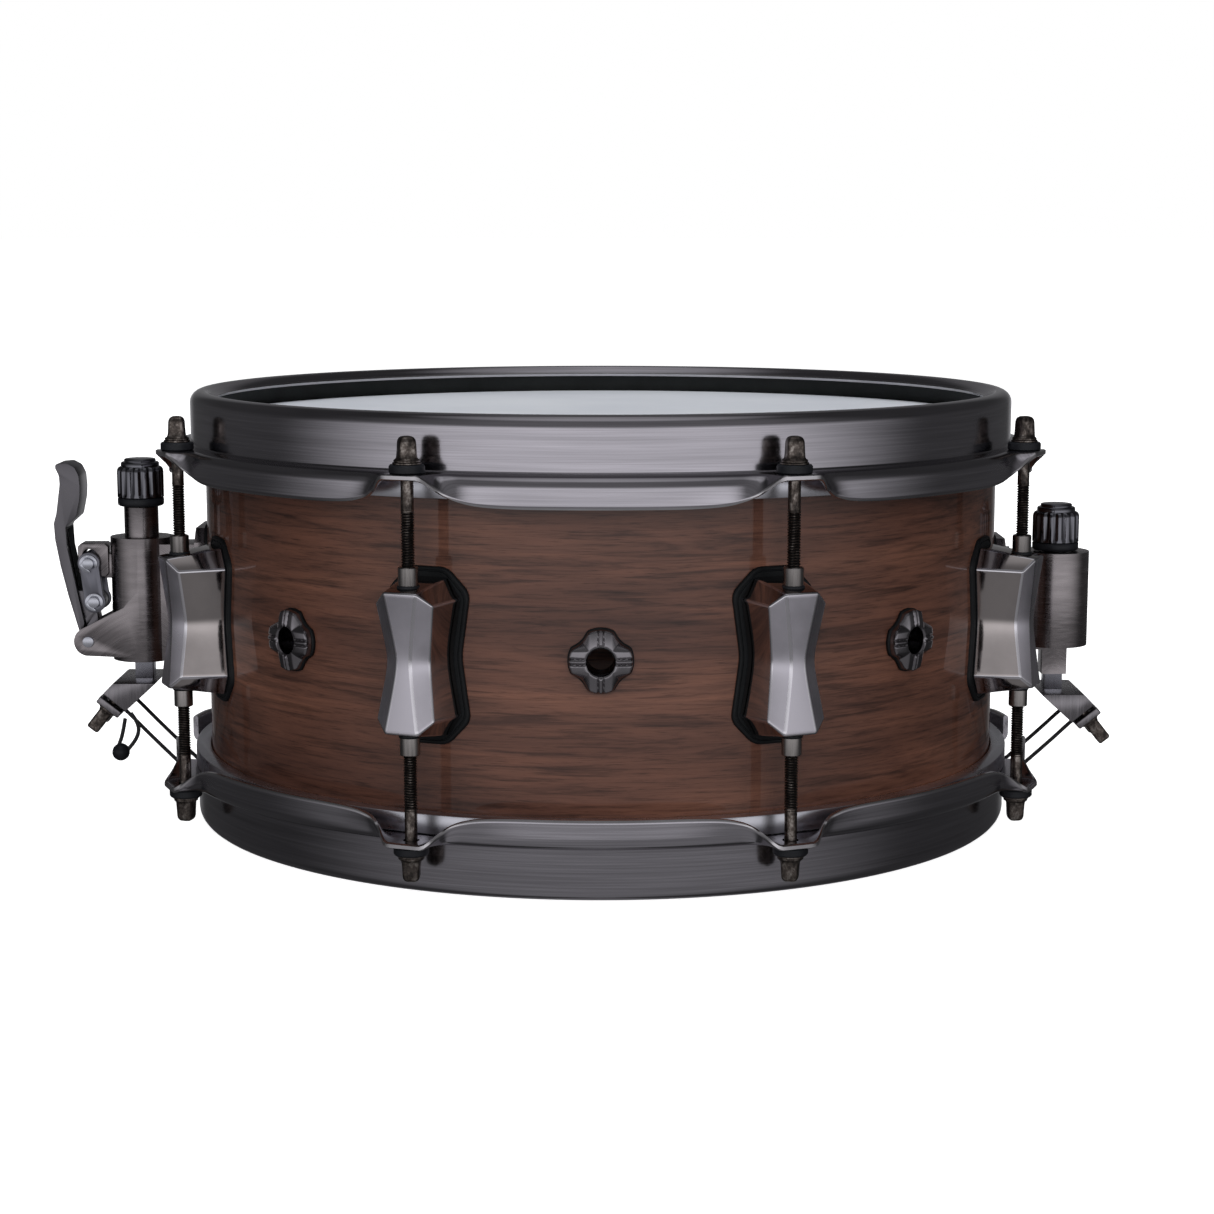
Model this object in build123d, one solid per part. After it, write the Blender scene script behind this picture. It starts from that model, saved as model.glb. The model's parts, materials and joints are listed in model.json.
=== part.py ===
"""Snare drum, 14 x 6.5 inch, as an assembly of separate parts.

Millimetres. The origin is on the drum's axis in the plane of the lower rim, +Z is up,
the strainer (throw-off) is at -X and the butt plate at +X, and -Y is the front.
"""

import os
from math import atan2, cos, hypot, radians, sin, tan

from build123d import *

# ---- driving dimensions -------------------------------------------------------------
DRUM_HEIGHT = 191.0          # rim to rim
MID_Z = DRUM_HEIGHT / 2      # the hardware is symmetric about this plane
SHELL_R = 177.0              # outside radius of the shell
SHELL_WALL = 6.0
SHELL_DEPTH = 165.1
FILM = 0.3                   # thickness of both heads
ROD_CIRCLE_R = 194.3         # radius of the circle that the tension rods stand on
LUG_COUNT = 8

HOOP_SHEET = 2.3             # thickness of the pressed hoops
HOOP_WALL_R = 182.05         # middle of the hoop's upright wall
HOOP_LEDGE_Z = 167.6         # middle of the sheet at the ledge and the ears
HOOP_SKIRT_R = 191.85
HOOP_SKIRT_Z = 156.5         # free edge of the skirt

ROD_R = 2.75                 # thread of the tension rods, about 5.5 mm across
ROD_SHANK_R = 2.45
ROD_END_Z = 112.0            # inner end of an upper rod
ROD_HEAD = 6.2               # across the flats of the square head
ROD_FLANGE_Z = 173.1
ROD_TIP_Z = 183.1
STEEL_WASHER_Z = 172.2
NUT_R = 4.0                  # swivel nut
NUT_INNER = 13.0             # its ends, measured from the middle plane
NUT_OUTER = 37.0

GASKET = 1.6                 # rubber under the lugs and the strainer
VENT_R = 11.3
VENT_LOBE = 1.25
VENT_BORE_R = 5.3

KNOB_R = 10.5
KNOB_RIBS = 16
STRAINER_X = -208.8          # axis of the strainer's knob, sleeve and post
BUTT_X = 207.0
LEVER_PIVOT = (-231.9, 76.7)     # x, z of the strainer's pins
LOWER_LINK_PIN = (-229.9, 93.9)
UPPER_LINK_PIN = (-232.0, 111.5)
CLEVIS_SLOT = 3.3            # free travel of the upper pin in the clevis
POST_HALF = 4.1              # half the width of the square posts
STRAINER_CLAMP_Z = 58.4      # top of the clamp blocks
BUTT_CLAMP_Z = 53.2
CLAMP_HALF = 20.0            # half the width of a clamp block
CLAMP_GAP = 1.9              # room for a cord between block and plate
CLAMP_PLATE = 3.4
CLAMP_SCREW_Y = 12.5

CORD_R = 0.9
CORD_Y = 14.0
WIRE_COUNT = 20
WIRE_PITCH = 2.1
WIRE_R = 1.25
WIRE_END_X = 152.0

LOWER_EDGE_Z = MID_Z - SHELL_DEPTH / 2
UPPER_EDGE_Z = MID_Z + SHELL_DEPTH / 2
LUG_ANGLES = [360.0 / LUG_COUNT * (i + 0.5) for i in range(LUG_COUNT)]
VENT_ANGLES = [0.0, 45.0, 135.0, 180.0, 225.0, 315.0]

MIDDLE = Plane.XY.offset(MID_Z)
BOTTOM_UP = (Align.CENTER, Align.CENTER, Align.MIN)


# ---- helpers ------------------------------------------------------------------------
def disc(radius, low, high, x=0.0, y=0.0):
    """An upright cylinder between two heights."""
    return Pos(x, y, low) * Cylinder(radius, high - low, align=BOTTOM_UP)


def pipe(outer, inner, low, high, x=0.0, y=0.0):
    """An upright tube."""
    return disc(outer, low, high, x, y) - disc(inner, low - 1, high + 1, x, y)


def slab(x_range, y_range, z_range):
    """A box given by its limits."""
    size = [b - a for a, b in (x_range, y_range, z_range)]
    centre = [(a + b) / 2 for a, b in (x_range, y_range, z_range)]
    return Pos(*centre) * Box(*size)


def front_plane(distance):
    """The plane at a distance in front of the axis, with X right and Z up."""
    return Plane(origin=(0, -distance, 0), x_dir=(1, 0, 0), z_dir=(0, -1, 0))


def prism_front(points, y_range, radius=0.0):
    """An outline in X and Z, extruded between two values of Y."""
    outline = make_face(Polyline(*points, close=True))
    if radius:
        outline = fillet(outline.vertices(), radius)
    return extrude(front_plane(-y_range[1]) * outline, y_range[1] - y_range[0])


def prism_plan(points, z_range, radius=0.0):
    """An outline in X and Y, extruded between two heights."""
    outline = make_face(Polyline(*points, close=True))
    if radius:
        outline = fillet(outline.vertices(), radius)
    return extrude(Plane.XY.offset(z_range[0]) * outline, z_range[1] - z_range[0])


def spoke(radius, near, far, z, x=0.0):
    """A cylinder that points away from the axis, at the front of the drum."""
    return Pos(x, -near, z) * Rot(90, 0, 0) * Cylinder(radius, far - near, align=BOTTOM_UP)


def cross_pin(radius, half, centre):
    """A pin along Y through a point of the XZ plane."""
    return Pos(centre[0], half, centre[1]) * Rot(90, 0, 0) * Cylinder(
        radius, 2 * half, align=BOTTOM_UP)


def around(piece, angles):
    """Copies of a front piece, turned about the drum's axis."""
    return [Rot(0, 0, angle) * piece for angle in angles]


def flipped(piece):
    """The mirror image on the other side of the drum's middle plane."""
    return mirror(piece, MIDDLE)


def mirrored_x(points):
    """An outline's right half, with its left half added."""
    return list(points) + [(-x, y) for x, y in reversed(points)]


def beside(points, distance):
    """The corners of a path moved sideways by a distance."""
    moved = []
    count = len(points)
    for i, (x, y) in enumerate(points):
        before = points[max(i - 1, 0)]
        after = points[min(i + 1, count - 1)]
        first = atan2(y - before[1], x - before[0]) if i > 0 else None
        last = atan2(after[1] - y, after[0] - x) if i < count - 1 else None
        first = last if first is None else first
        last = first if last is None else last
        half = (last - first) / 2
        reach = distance / cos(half)
        moved.append((x - reach * sin(first + half), y + reach * cos(first + half)))
    return moved


def sheet(points, radii, thickness):
    """The cross-section of a bent sheet that follows a path of corners."""
    sides = []
    for side in (1, -1):
        path = beside(points, side * thickness / 2)
        corner_radii = []
        for i, radius in enumerate(radii):
            first = atan2(points[i + 1][1] - points[i][1], points[i + 1][0] - points[i][0])
            last = atan2(points[i + 2][1] - points[i + 1][1], points[i + 2][0] - points[i + 1][0])
            turn_left = sin(last - first) > 0
            inner_side = turn_left == (side > 0)
            corner_radii.append(radius - thickness / 2 if inner_side else radius + thickness / 2)
        sides.append((path, FilletPolyline(*path, radius=corner_radii)))
    (left, left_edge), (right, right_edge) = sides
    ends = [Line(left[0], right[0]), Line(left[-1], right[-1])]
    return make_face(Wire(left_edge.edges() + right_edge.edges() + ends))


def ring_from(section):
    """A ring turned from a section in X and Z."""
    return revolve(Plane.XZ * section, Axis.Z)


def cord(route):
    """A round cord: straight runs, joined by arcs as large as the runs allow."""
    points = [Vector(*point) for point in route]
    runs = [points[i + 1] - points[i] for i in range(len(points) - 1)]
    radii = []
    for first, last in zip(runs, runs[1:]):
        turn = radians(first.get_angle(last))
        radii.append(0.45 * min(first.length, last.length) / tan(turn / 2))
    print("cord radii", [round(radius, 1) for radius in radii])
    path = FilletPolyline(*points, radius=radii) if radii else Polyline(*points)
    start = path.position_at(0)
    profile = Plane(origin=start, z_dir=path.tangent_at(0)) * Circle(CORD_R)
    body = sweep(profile, path=path)
    expected = profile.area * path.length
    print("cord length", round(path.length, 1), "volume ratio", round(body.volume / expected, 4))
    return body


def save(name, pieces):
    """Write one node, as one solid or as a group of separate solids."""
    group = pieces if isinstance(pieces, list) else [pieces]
    solids = [solid for piece in group for solid in piece.solids()]
    shape = solids[0] if len(solids) == 1 else Compound(children=solids)
    export_step(shape, f"parts/{name}.step")


# ---- shell and heads ----------------------------------------------------------------
def make_shell():
    """A plywood shell with bevelled bearing edges, vent holes and screw holes."""
    inner = SHELL_R - SHELL_WALL
    bevel = 4.0
    section = [
        (inner, LOWER_EDGE_Z + bevel), (inner + bevel, LOWER_EDGE_Z),
        (SHELL_R - 1, LOWER_EDGE_Z), (SHELL_R, LOWER_EDGE_Z + 1),
        (SHELL_R, UPPER_EDGE_Z - 1), (SHELL_R - 1, UPPER_EDGE_Z),
        (inner + bevel, UPPER_EDGE_Z), (inner, UPPER_EDGE_Z - bevel),
    ]
    shell = ring_from(make_face(Polyline(*section, close=True)))
    holes = around(spoke(6.2, inner - 6, SHELL_R + 6, MID_Z), VENT_ANGLES)
    for height in (MID_Z - 21, MID_Z + 21):
        holes += around(spoke(2.2, inner - 6, SHELL_R + 6, height), LUG_ANGLES + [90, 270])
    return shell - holes


def make_film():
    """The upper head's film: flat over the bearing edge, then down into its hoop."""
    outer = SHELL_R + 0.5
    flat = disc(outer, UPPER_EDGE_Z, UPPER_EDGE_Z + FILM)
    collar = pipe(outer, outer - FILM, 160.0, UPPER_EDGE_Z + FILM)
    return flat + collar


def make_flesh_hoop():
    """The upper head's metal ring, which the hoop pulls down."""
    top = HOOP_LEDGE_Z - HOOP_SHEET / 2 - 0.3
    return pipe(184.0, SHELL_R + 0.5, top - 8.0, top)


# ---- hoops --------------------------------------------------------------------------
def ear_wave():
    """The flange's path past one ear, across the front: flat, then down to the skirt."""
    right = [(8.6, HOOP_LEDGE_Z), (15.5, 159.6), (28.0, HOOP_SKIRT_Z + 0.9)]
    return [(-x, z) for x, z in reversed(right)] + right


def make_hoop():
    """The upper hoop: inward lip, wall, ledge and skirt, with a flat ear at each rod."""
    top = DRUM_HEIGHT - HOOP_SHEET / 2
    path = [
        (HOOP_SKIRT_R, HOOP_SKIRT_Z), (HOOP_SKIRT_R, HOOP_LEDGE_Z - 0.6),
        (HOOP_WALL_R, HOOP_LEDGE_Z), (HOOP_WALL_R, top),
        (176.6, top), (172.9, 187.0),
    ]
    hoop = ring_from(sheet(path, [3.4, 1.7, 3.9, 1.5], HOOP_SHEET))
    wave = ear_wave()
    under = [(wave[0][0], 150.0)] + wave + [(wave[-1][0], 150.0)]
    void = prism_front(under, (-206.0, -188.0))
    flange = extrude(front_plane(188.0) * sheet(wave, [12.0, 4.0, 4.0, 12.0], HOOP_SHEET), 16.0)
    outline = mirrored_x([(7.0, -201.5), (12.5, -200.4), (28.0, -190.7), (28.0, -186.0)])
    flange &= prism_plan(outline, (150.0, 175.0))
    flange -= disc(HOOP_SKIRT_R - HOOP_SHEET / 2, 150.0, HOOP_LEDGE_Z - 2.2)
    hoop -= around(void, LUG_ANGLES)
    hoop += around(flange, LUG_ANGLES)
    hole = disc(3.4, 150.0, 175.0, 0, -ROD_CIRCLE_R)
    return hoop - around(hole, LUG_ANGLES)


def make_snare_hoop():
    """The lower hoop: the same pressing with a gate on each side for the snare cords."""
    hoop = flipped(make_hoop())
    gates = [slab(span, (-24, 24), (8, 45)) for span in ((-206, -165), (165, 206))]
    return hoop - gates


# ---- lugs and tension rods ----------------------------------------------------------
def hourglass(half_width, waist, end_width, half_height, shoulder, distance):
    """A bow-tie outline on a plane in front of the drum."""
    right = [
        (end_width, half_height), (half_width, shoulder), (waist, 0.0),
        (half_width, -shoulder), (end_width, -half_height),
    ]
    points = [(x, z + MID_Z) for x, z in mirrored_x(right)]
    return front_plane(distance) * make_face(Polyline(*points, close=True))


def make_lug():
    """A hollow hourglass casting with a ridge down its face and a bore in each end."""
    back = hourglass(17.0, 12.7, 8.5, 30.5, 23.8, 172.0)
    front = hourglass(14.0, 9.0, 7.0, 28.0, 23.5, 204.0)
    body = loft([back, front], ruled=True)
    side = [
        (170.0, 31.0), (181.0, 31.0), (197.7, 28.0), (203.5, 23.5), (198.5, 0.0),
        (203.5, -23.5), (197.7, -28.0), (181.0, -31.0), (170.0, -31.0),
    ]
    side_face = make_face(Polyline(*[(-v, z + MID_Z) for v, z in side], close=True))
    body &= extrude(Plane.YZ.offset(-20) * side_face, 40)
    roof = [(-20, -170), (-20, -196.5), (0, -204.2), (20, -196.5), (20, -170)]
    body &= prism_plan(roof, (MID_Z - 35, MID_Z + 35))
    body -= disc(SHELL_R + GASKET, MID_Z - 40, MID_Z + 40)
    body -= slab((-6.5, 6.5), (-187.0, -170.0), (MID_Z - 16, MID_Z + 16))
    for height in (MID_Z - 21, MID_Z + 21):
        body -= spoke(2.0, 170.0, 188.0, height)
    for low, high in ((MID_Z - 40, MID_Z - NUT_INNER + 1), (MID_Z + NUT_INNER - 1, MID_Z + 40)):
        body -= disc(NUT_R + 0.1, low, high, 0, -ROD_CIRCLE_R)
    return body


def make_lug_gasket():
    """The rubber between a lug and the shell, a little wider than the lug's foot."""
    right = [(8.0, 35.4), (17.6, 25.0), (14.0, 0.0), (17.6, -25.0), (8.0, -35.4)]
    points = [(x, z + MID_Z) for x, z in mirrored_x(right)]
    gasket = prism_front(points, (-182.0, -170.0), 2.0)
    gasket &= disc(SHELL_R + GASKET, MID_Z - 40, MID_Z + 40)
    gasket -= disc(SHELL_R, MID_Z - 41, MID_Z + 41)
    holes = [spoke(2.2, 170.0, 190.0, height) for height in (MID_Z - 21, MID_Z + 21)]
    return gasket - holes


def make_swivel_nut():
    """The threaded tube that an upper rod screws into."""
    low, high = MID_Z + NUT_INNER, MID_Z + NUT_OUTER
    return pipe(NUT_R, ROD_R + 0.05, low, high, 0, -ROD_CIRCLE_R)


def make_rod():
    """An upper tension rod: thread, plain shank, flange and a square drum-key head."""
    y = -ROD_CIRCLE_R
    rod = disc(ROD_R, ROD_END_Z, 155.0, 0, y)
    rod += disc(ROD_SHANK_R, 155.0, ROD_FLANGE_Z + 0.5, 0, y)
    rod += Pos(0, y, ROD_FLANGE_Z) * Cone(4.2, 3.2, 2.4, align=BOTTOM_UP)
    half = ROD_HEAD / 2
    head = slab((-half, half), (y - half, y + half), (ROD_FLANGE_Z + 1, ROD_TIP_Z))
    head = fillet(head.edges().filter_by(Axis.Z), 1.3)
    head = fillet(head.faces().sort_by(Axis.Z)[-1].edges(), 1.2)
    return rod + head


def make_steel_washer():
    """The steel washer under a rod's flange."""
    return pipe(5.65, 2.85, STEEL_WASHER_Z, ROD_FLANGE_Z, 0, -ROD_CIRCLE_R)


def make_nylon_washer():
    """The black nylon washer on an ear."""
    ear_top = HOOP_LEDGE_Z + HOOP_SHEET / 2
    return pipe(7.0, 2.9, ear_top, STEEL_WASHER_Z, 0, -ROD_CIRCLE_R)


def make_shell_screw(z, length):
    """A pan-head screw through the shell from inside, pointing out."""
    inner = SHELL_R - SHELL_WALL
    shank = spoke(1.98, inner - 2.4, inner + length, z)
    head = spoke(4.2, inner - 5.0, inner - 2.4, z)
    return shank + head


def make_shell_washer(z):
    """The plain washer between a screw head and the shell's inner face."""
    inner = SHELL_R - SHELL_WALL
    return spoke(5.5, inner - 2.4, inner - 0.1, z) - spoke(2.1, inner - 5, inner + 2, z)


# ---- vents --------------------------------------------------------------------------
def star(scale, near, far):
    """A four-lobed plate at the front, with its lobes along X and Z."""
    points = []
    for i in range(32):
        angle = radians(360.0 / 32 * i)
        radius = scale * (VENT_R + VENT_LOBE * cos(4 * angle))
        points.append((radius * cos(angle), MID_Z + radius * sin(angle)))
    outline = make_face(Spline(*points, periodic=True))
    return extrude(front_plane(near) * outline, far - near)


def make_vent():
    """A star-shaped vent with its neck through the shell."""
    vent = star(1.0, 178.4, 182.2)
    vent += spoke(6.1, 166.5, 180.0, MID_Z)
    return vent - spoke(VENT_BORE_R, 160.0, 190.0, MID_Z)


def make_vent_gasket():
    """The rubber star behind a vent."""
    gasket = star(1.03, 175.5, 178.4) - disc(SHELL_R, MID_Z - 20, MID_Z + 20)
    return gasket - spoke(6.2, 160.0, 190.0, MID_Z)


def make_vent_nut():
    """The ring nut inside the shell that holds a vent."""
    nut = spoke(9.0, 167.0, 170.6, MID_Z)
    return nut - spoke(6.15, 160.0, 175.0, MID_Z)


# ---- knobs, posts and clamps --------------------------------------------------------
def make_knob(x, low, top):
    """A ribbed knob with a raised disc on top."""
    shoulder = top - 4.6
    knob = disc(KNOB_R, low, shoulder, x)
    knob = chamfer(knob.edges().sort_by(Axis.Z)[-1], 1.2)
    grooves = []
    for i in range(KNOB_RIBS):
        groove = Pos(KNOB_R + 0.5, 0, low + 1) * Cylinder(
            1.35, shoulder - low, align=BOTTOM_UP)
        grooves.append(Pos(x, 0, 0) * Rot(0, 0, 360.0 / KNOB_RIBS * i) * groove)
    knob -= grooves
    knob += disc(KNOB_R - 1.6, shoulder - 1, top - 1.6, x)
    knob += disc(KNOB_R - 3.4, top - 2, top, x)
    return knob


def make_adjuster(x, low, high, top):
    """The screw under a knob, which lifts the square post."""
    return disc(2.5, low, high, x) + disc(5.0, high - 2, top, x)


def make_post(x, low, high):
    """A square post, threaded inside for the knob's screw."""
    post = slab((x - POST_HALF, x + POST_HALF), (-POST_HALF, POST_HALF), (low, high))
    return post - disc(2.56, low + 6, high + 1, x)


def clamp_frame(x, side, top):
    """A point of the clamp's section, given outwards from the post and up from its top."""
    def place(outward, up):
        return (x + side * outward, top + up)
    return place


def clamp_face():
    """The two ends of the block's slanted lower face, outwards and up."""
    return (16.1, -4.6), (6.1, -12.6)


def clamp_normal():
    """The direction in which the clamp screws point, outwards and up."""
    (ax, az), (ex, ez) = clamp_face()
    length = hypot(ax - ex, az - ez)
    return (az - ez) / length, -(ax - ex) / length


def make_clamp_block(x, side, top):
    """The slanted block at the foot of a post, which the cords are clamped to."""
    place = clamp_frame(x, side, top)
    outer, lower = clamp_face()
    corners = [place(-7.7, 0), place(11.6, 0), place(*outer), place(*lower)]
    block = prism_front(corners, (-CLAMP_HALF, CLAMP_HALF))
    block = chamfer(block.edges().filter_by(Axis.Y), 0.5)
    for y in (-CLAMP_SCREW_Y, CLAMP_SCREW_Y):
        block -= clamp_bore(x, side, top, y, 2.1, 6.0)
    return block


def clamp_axis(x, side, top, y):
    """A plane on the slanted face at a screw's axis, facing the screw's head."""
    (ax, az), (ex, ez) = clamp_face()
    place = clamp_frame(x, side, top)
    centre = place(ex + 0.55 * (ax - ex), ez + 0.55 * (az - ez))
    nx, nz = clamp_normal()
    return Plane(origin=(centre[0], y, centre[1]), x_dir=(0, 1, 0), z_dir=(side * nx, 0, nz))


def clamp_bore(x, side, top, y, radius, depth):
    """The hole for a clamp screw, down into the block and out through the plate."""
    hole = Pos(0, 0, -depth) * Cylinder(radius, depth + 12, align=BOTTOM_UP)
    return clamp_axis(x, side, top, y).location * hole


def make_clamp_plate(x, side, top):
    """The plate that two screws pull against the block."""
    plane = clamp_axis(x, side, top, 0)
    plate = Pos(0, 0, CLAMP_GAP) * Box(2 * CLAMP_HALF - 2, 12.2, CLAMP_PLATE, align=BOTTOM_UP)
    plate = chamfer(plate.edges(), 0.4)
    plate = plane.location * plate
    for y in (-CLAMP_SCREW_Y, CLAMP_SCREW_Y):
        plate -= clamp_bore(x, side, top, y, 2.35, 6.0)
    return plate


def make_clamp_screw(x, side, top, y):
    """A drum-key screw with a round flange under its square head."""
    face = CLAMP_GAP + CLAMP_PLATE
    screw = Pos(0, 0, -5) * Cylinder(2.03, face + 6, align=BOTTOM_UP)
    screw += Pos(0, 0, face + 0.05) * Cylinder(4.9, 1.0, align=BOTTOM_UP)
    screw += Pos(0, 0, face + 1.0) * Cone(4.1, 3.1, 2.2, align=BOTTOM_UP)
    head = Pos(0, 0, face + 2) * Box(5.9, 5.9, 10.4, align=BOTTOM_UP)
    head = fillet(head.edges().filter_by(Axis.Z), 1.2)
    head = fillet(head.faces().sort_by(Axis.Z)[-1].edges(), 1.1)
    return clamp_axis(x, side, top, y).location * (screw + head)


# ---- strainer -----------------------------------------------------------------------
def pad_outline(half_width, half_height, corner, y_range):
    """A plate against the shell on the +X side, with cut corners."""
    points = mirrored_x([(half_width - corner, half_height), (half_width, half_height - corner),
                         (half_width, corner - half_height), (half_width - corner, -half_height)])
    outline = make_face(Polyline(*points, close=True))
    plane = Plane(origin=(y_range[0], 0, MID_Z), x_dir=(0, 1, 0), z_dir=(1, 0, 0))
    return extrude(plane * outline, y_range[1] - y_range[0])


def make_side_gasket(side, half_width, half_height):
    """The rubber under the strainer or the butt plate."""
    gasket = pad_outline(half_width, half_height, 7.0, (165.0, 182.0))
    gasket &= disc(SHELL_R + GASKET, 30, 160)
    gasket -= disc(SHELL_R, 20, 170)
    turned = Rot(0, 0, 0 if side > 0 else 180) * gasket
    return turned - side_screw_holes(side, 2.2)


def side_screw_holes(side, radius):
    """The pair of screw holes behind the strainer or the butt plate."""
    angle = 90 if side > 0 else 270
    return around(spoke(radius, 165.0, 190.0, MID_Z - 21), [angle]) + around(
        spoke(radius, 165.0, 190.0, MID_Z + 21), [angle])


def make_foot(side, half_width, half_height, reach):
    """The foot of the strainer or the butt plate, down to its curved back."""
    foot = pad_outline(half_width, half_height, 6.0, (165.0, 182.0))
    foot += slab((170.0, reach), (-10.5, 10.5), (MID_Z - half_height + 5, MID_Z + half_height - 8))
    foot -= disc(SHELL_R + GASKET, 30, 160)
    return Rot(0, 0, 0 if side > 0 else 180) * foot


def make_strainer_housing():
    """The round housing with its foot and the two cheeks that hold the lever's pin."""
    x = STRAINER_X
    low, high = 67.2, 123.3
    housing = disc(14.2, low, high, x)
    housing += make_foot(-1, 20.0, 33.0, -x)
    px, pz = LEVER_PIVOT
    cheek = [
        (px, pz - 6.5), (x, pz - 7.5), (x, 99.0), (-210.5, 98.5), (-215.5, 92.2), (-220.5, 89.7),
        (px - 2.2, pz + 6.1),
    ]
    for y_range in ((-14.2, -9.8), (9.8, 14.2)):
        housing += prism_front(cheek, y_range)
        housing += Pos(px, y_range[1], pz) * Rot(90, 0, 0) * Cylinder(
            6.5, y_range[1] - y_range[0], align=BOTTOM_UP)
    housing -= disc(7.8, 80.0, high + 1, x)
    room = POST_HALF + 0.15
    housing -= slab((x - room, x + room), (-room, room), (low - 1, 82))
    housing -= slab((x - 16, x - 5), (-4.4, 4.4), (92.0, 117.0))
    housing -= cross_pin(2.6, 20.0, LEVER_PIVOT)
    return housing - side_screw_holes(-1, 2.0)


def lever_outline():
    """The lever's long curved bar, seen from the front."""
    outer = [(-236.4, 79.0), (-241.3, 97.1), (-244.4, 110.5), (-246.5, 122.5), (-246.9, 129.9),
             (-245.6, 134.4), (-243.7, 147.5), (-243.9, 151.5), (-245.6, 155.2), (-245.2, 156.8)]
    inner = [(-240.3, 157.2), (-236.8, 155.3), (-235.0, 151.5), (-234.6, 146.0), (-234.9, 141.0),
             (-236.6, 132.9), (-241.6, 128.4), (-241.2, 119.0), (-234.4, 84.0)]
    return outer + inner


def lever_channel():
    """The hollow along the lever's inner side, between its two rims."""
    outline = [(-244.6, 127.3), (-236.0, 126.5), (-228.0, 86.0), (-236.3, 86.0), (-239.9, 99.3)]
    return prism_front(outline, (-7.2, 7.2))


def make_lever():
    """The strainer's lever: a curved bar, a boss on its pin and a lug for the links."""
    bar = prism_front(lever_outline(), (-9.0, 9.0))
    bar = chamfer(bar.edges().filter_by(Axis.Y), 0.5)
    boss = cross_pin(5.4, 9.0, LEVER_PIVOT)
    lug = cross_pin(4.4, 4.8, LOWER_LINK_PIN)
    web = prism_front([(-236.5, 84.0), (-233.0, 77.0), (-228.0, 78.0), LOWER_LINK_PIN,
                       (-233.5, 98.5), (-239.8, 99.0)], (-4.8, 4.8))
    lever = bar - lever_channel() + boss + lug + web
    lever -= cross_pin(2.6, 20.0, LEVER_PIVOT)
    return lever - cross_pin(2.56, 20.0, LOWER_LINK_PIN)


def make_links():
    """Two flat links, one on each side of the lever's lug and the clevis."""
    links = []
    (lx, lz), (ux, uz) = LOWER_LINK_PIN, UPPER_LINK_PIN
    for low, high in ((-7.6, -5.6), (5.6, 7.6)):
        link = prism_front([(lx - 4.3, lz - 0.6), (lx + 4.3, lz + 0.6),
                            (ux + 4.3, uz + 0.6), (ux - 4.3, uz - 0.6)], (low, high))
        for cx, cz in (LOWER_LINK_PIN, UPPER_LINK_PIN):
            link += Pos(cx, high, cz) * Rot(90, 0, 0) * Cylinder(
                5.0, high - low, align=BOTTOM_UP)
            link -= cross_pin(2.5, 20.0, (cx, cz))
        links.append(link)
    return links


def make_link_pins():
    """The two grooved pins through the links."""
    return [cross_pin(2.5, 9.6, centre) for centre in (LOWER_LINK_PIN, UPPER_LINK_PIN)]


def make_link_clips():
    """The spring clips that hold the link pins."""
    clips = []
    for x, z in (LOWER_LINK_PIN, UPPER_LINK_PIN):
        for y_range in ((-8.5, -7.6), (7.6, 8.5)):
            clip = Pos(x, y_range[1], z) * Rot(90, 0, 0) * Cylinder(
                4.1, y_range[1] - y_range[0], align=BOTTOM_UP)
            clip -= cross_pin(2.5, 20.0, (x, z))
            clip -= Pos(x, 0, z) * Rot(0, -35, 0) * Pos(0, 0, -4) * Box(3.0, 30.0, 5.0)
            clips.append(clip)
    return clips


def make_clevis():
    """The clevis on the sliding sleeve, slotted for the upper link pin."""
    ux, uz = UPPER_LINK_PIN
    block = slab((-237.2, -223.4), (-5.2, 5.2), (105.2, 120.4))
    block = chamfer(block.edges().filter_by(Axis.Y), 1.5)
    block += slab((-226.0, -214.0), (-4.0, 4.0), (104.5, 115.5))
    slot = cross_pin(3.0, 20.0, (ux, uz)) + cross_pin(3.0, 20.0, (ux, uz + CLEVIS_SLOT))
    slot += slab((ux - 3.0, ux + 3.0), (-20, 20), (uz, uz + CLEVIS_SLOT))
    return block - slot - disc(7.7, 90, 125, STRAINER_X)


def make_sleeve():
    """The sleeve that slides in the housing and carries the knob."""
    return pipe(7.7, 5.15, 97.0, 137.0, STRAINER_X) + pipe(
        7.7, 2.6, 97.0, 100.0, STRAINER_X)


# ---- butt plate ---------------------------------------------------------------------
def make_butt_housing():
    """The round housing of the butt plate, with its foot and a square guide below."""
    x = BUTT_X
    housing = disc(15.3, 73.7, 116.6, x)
    housing += make_foot(1, 19.0, 28.0, x)
    housing += slab((x - 5.6, x + 5.6), (-5.6, 5.6), (60.3, 75.0))
    room = POST_HALF + 0.15
    housing -= slab((x - room, x + room), (-room, room), (59, 106))
    housing -= disc(5.1, 105, 118, x)
    return housing - side_screw_holes(1, 2.0)


# ---- snares -------------------------------------------------------------------------
def make_wires():
    """The snare wires under the lower head, each as the plain outside of its coil."""
    wires = []
    height = LOWER_EDGE_Z - FILM - WIRE_R - 0.1
    for i in range(WIRE_COUNT):
        y = WIRE_PITCH * (i - (WIRE_COUNT - 1) / 2)
        wire = Cylinder(WIRE_R - 0.25, 2 * WIRE_END_X)
        wires.append(Pos(0, y, height) * Rot(0, 90, 0) * wire)
    return wires


def make_end_plates():
    """The soldered plates at both ends of the wires, with holes for the cords."""
    plates = []
    half = WIRE_PITCH * WIRE_COUNT / 2 + 0.6
    top = LOWER_EDGE_Z - FILM - 2 * WIRE_R - 0.1
    for side in (-1, 1):
        near, far = sorted((side * (WIRE_END_X - 4), side * (WIRE_END_X + 11)))
        plate = slab((near, far), (-half, half), (top - 0.8, top))
        for y in (-CORD_Y, CORD_Y):
            plate -= disc(1.3, top - 2, top + 2, side * (WIRE_END_X + 2.5), y)
        plates.append(plate)
    return plates


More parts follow.
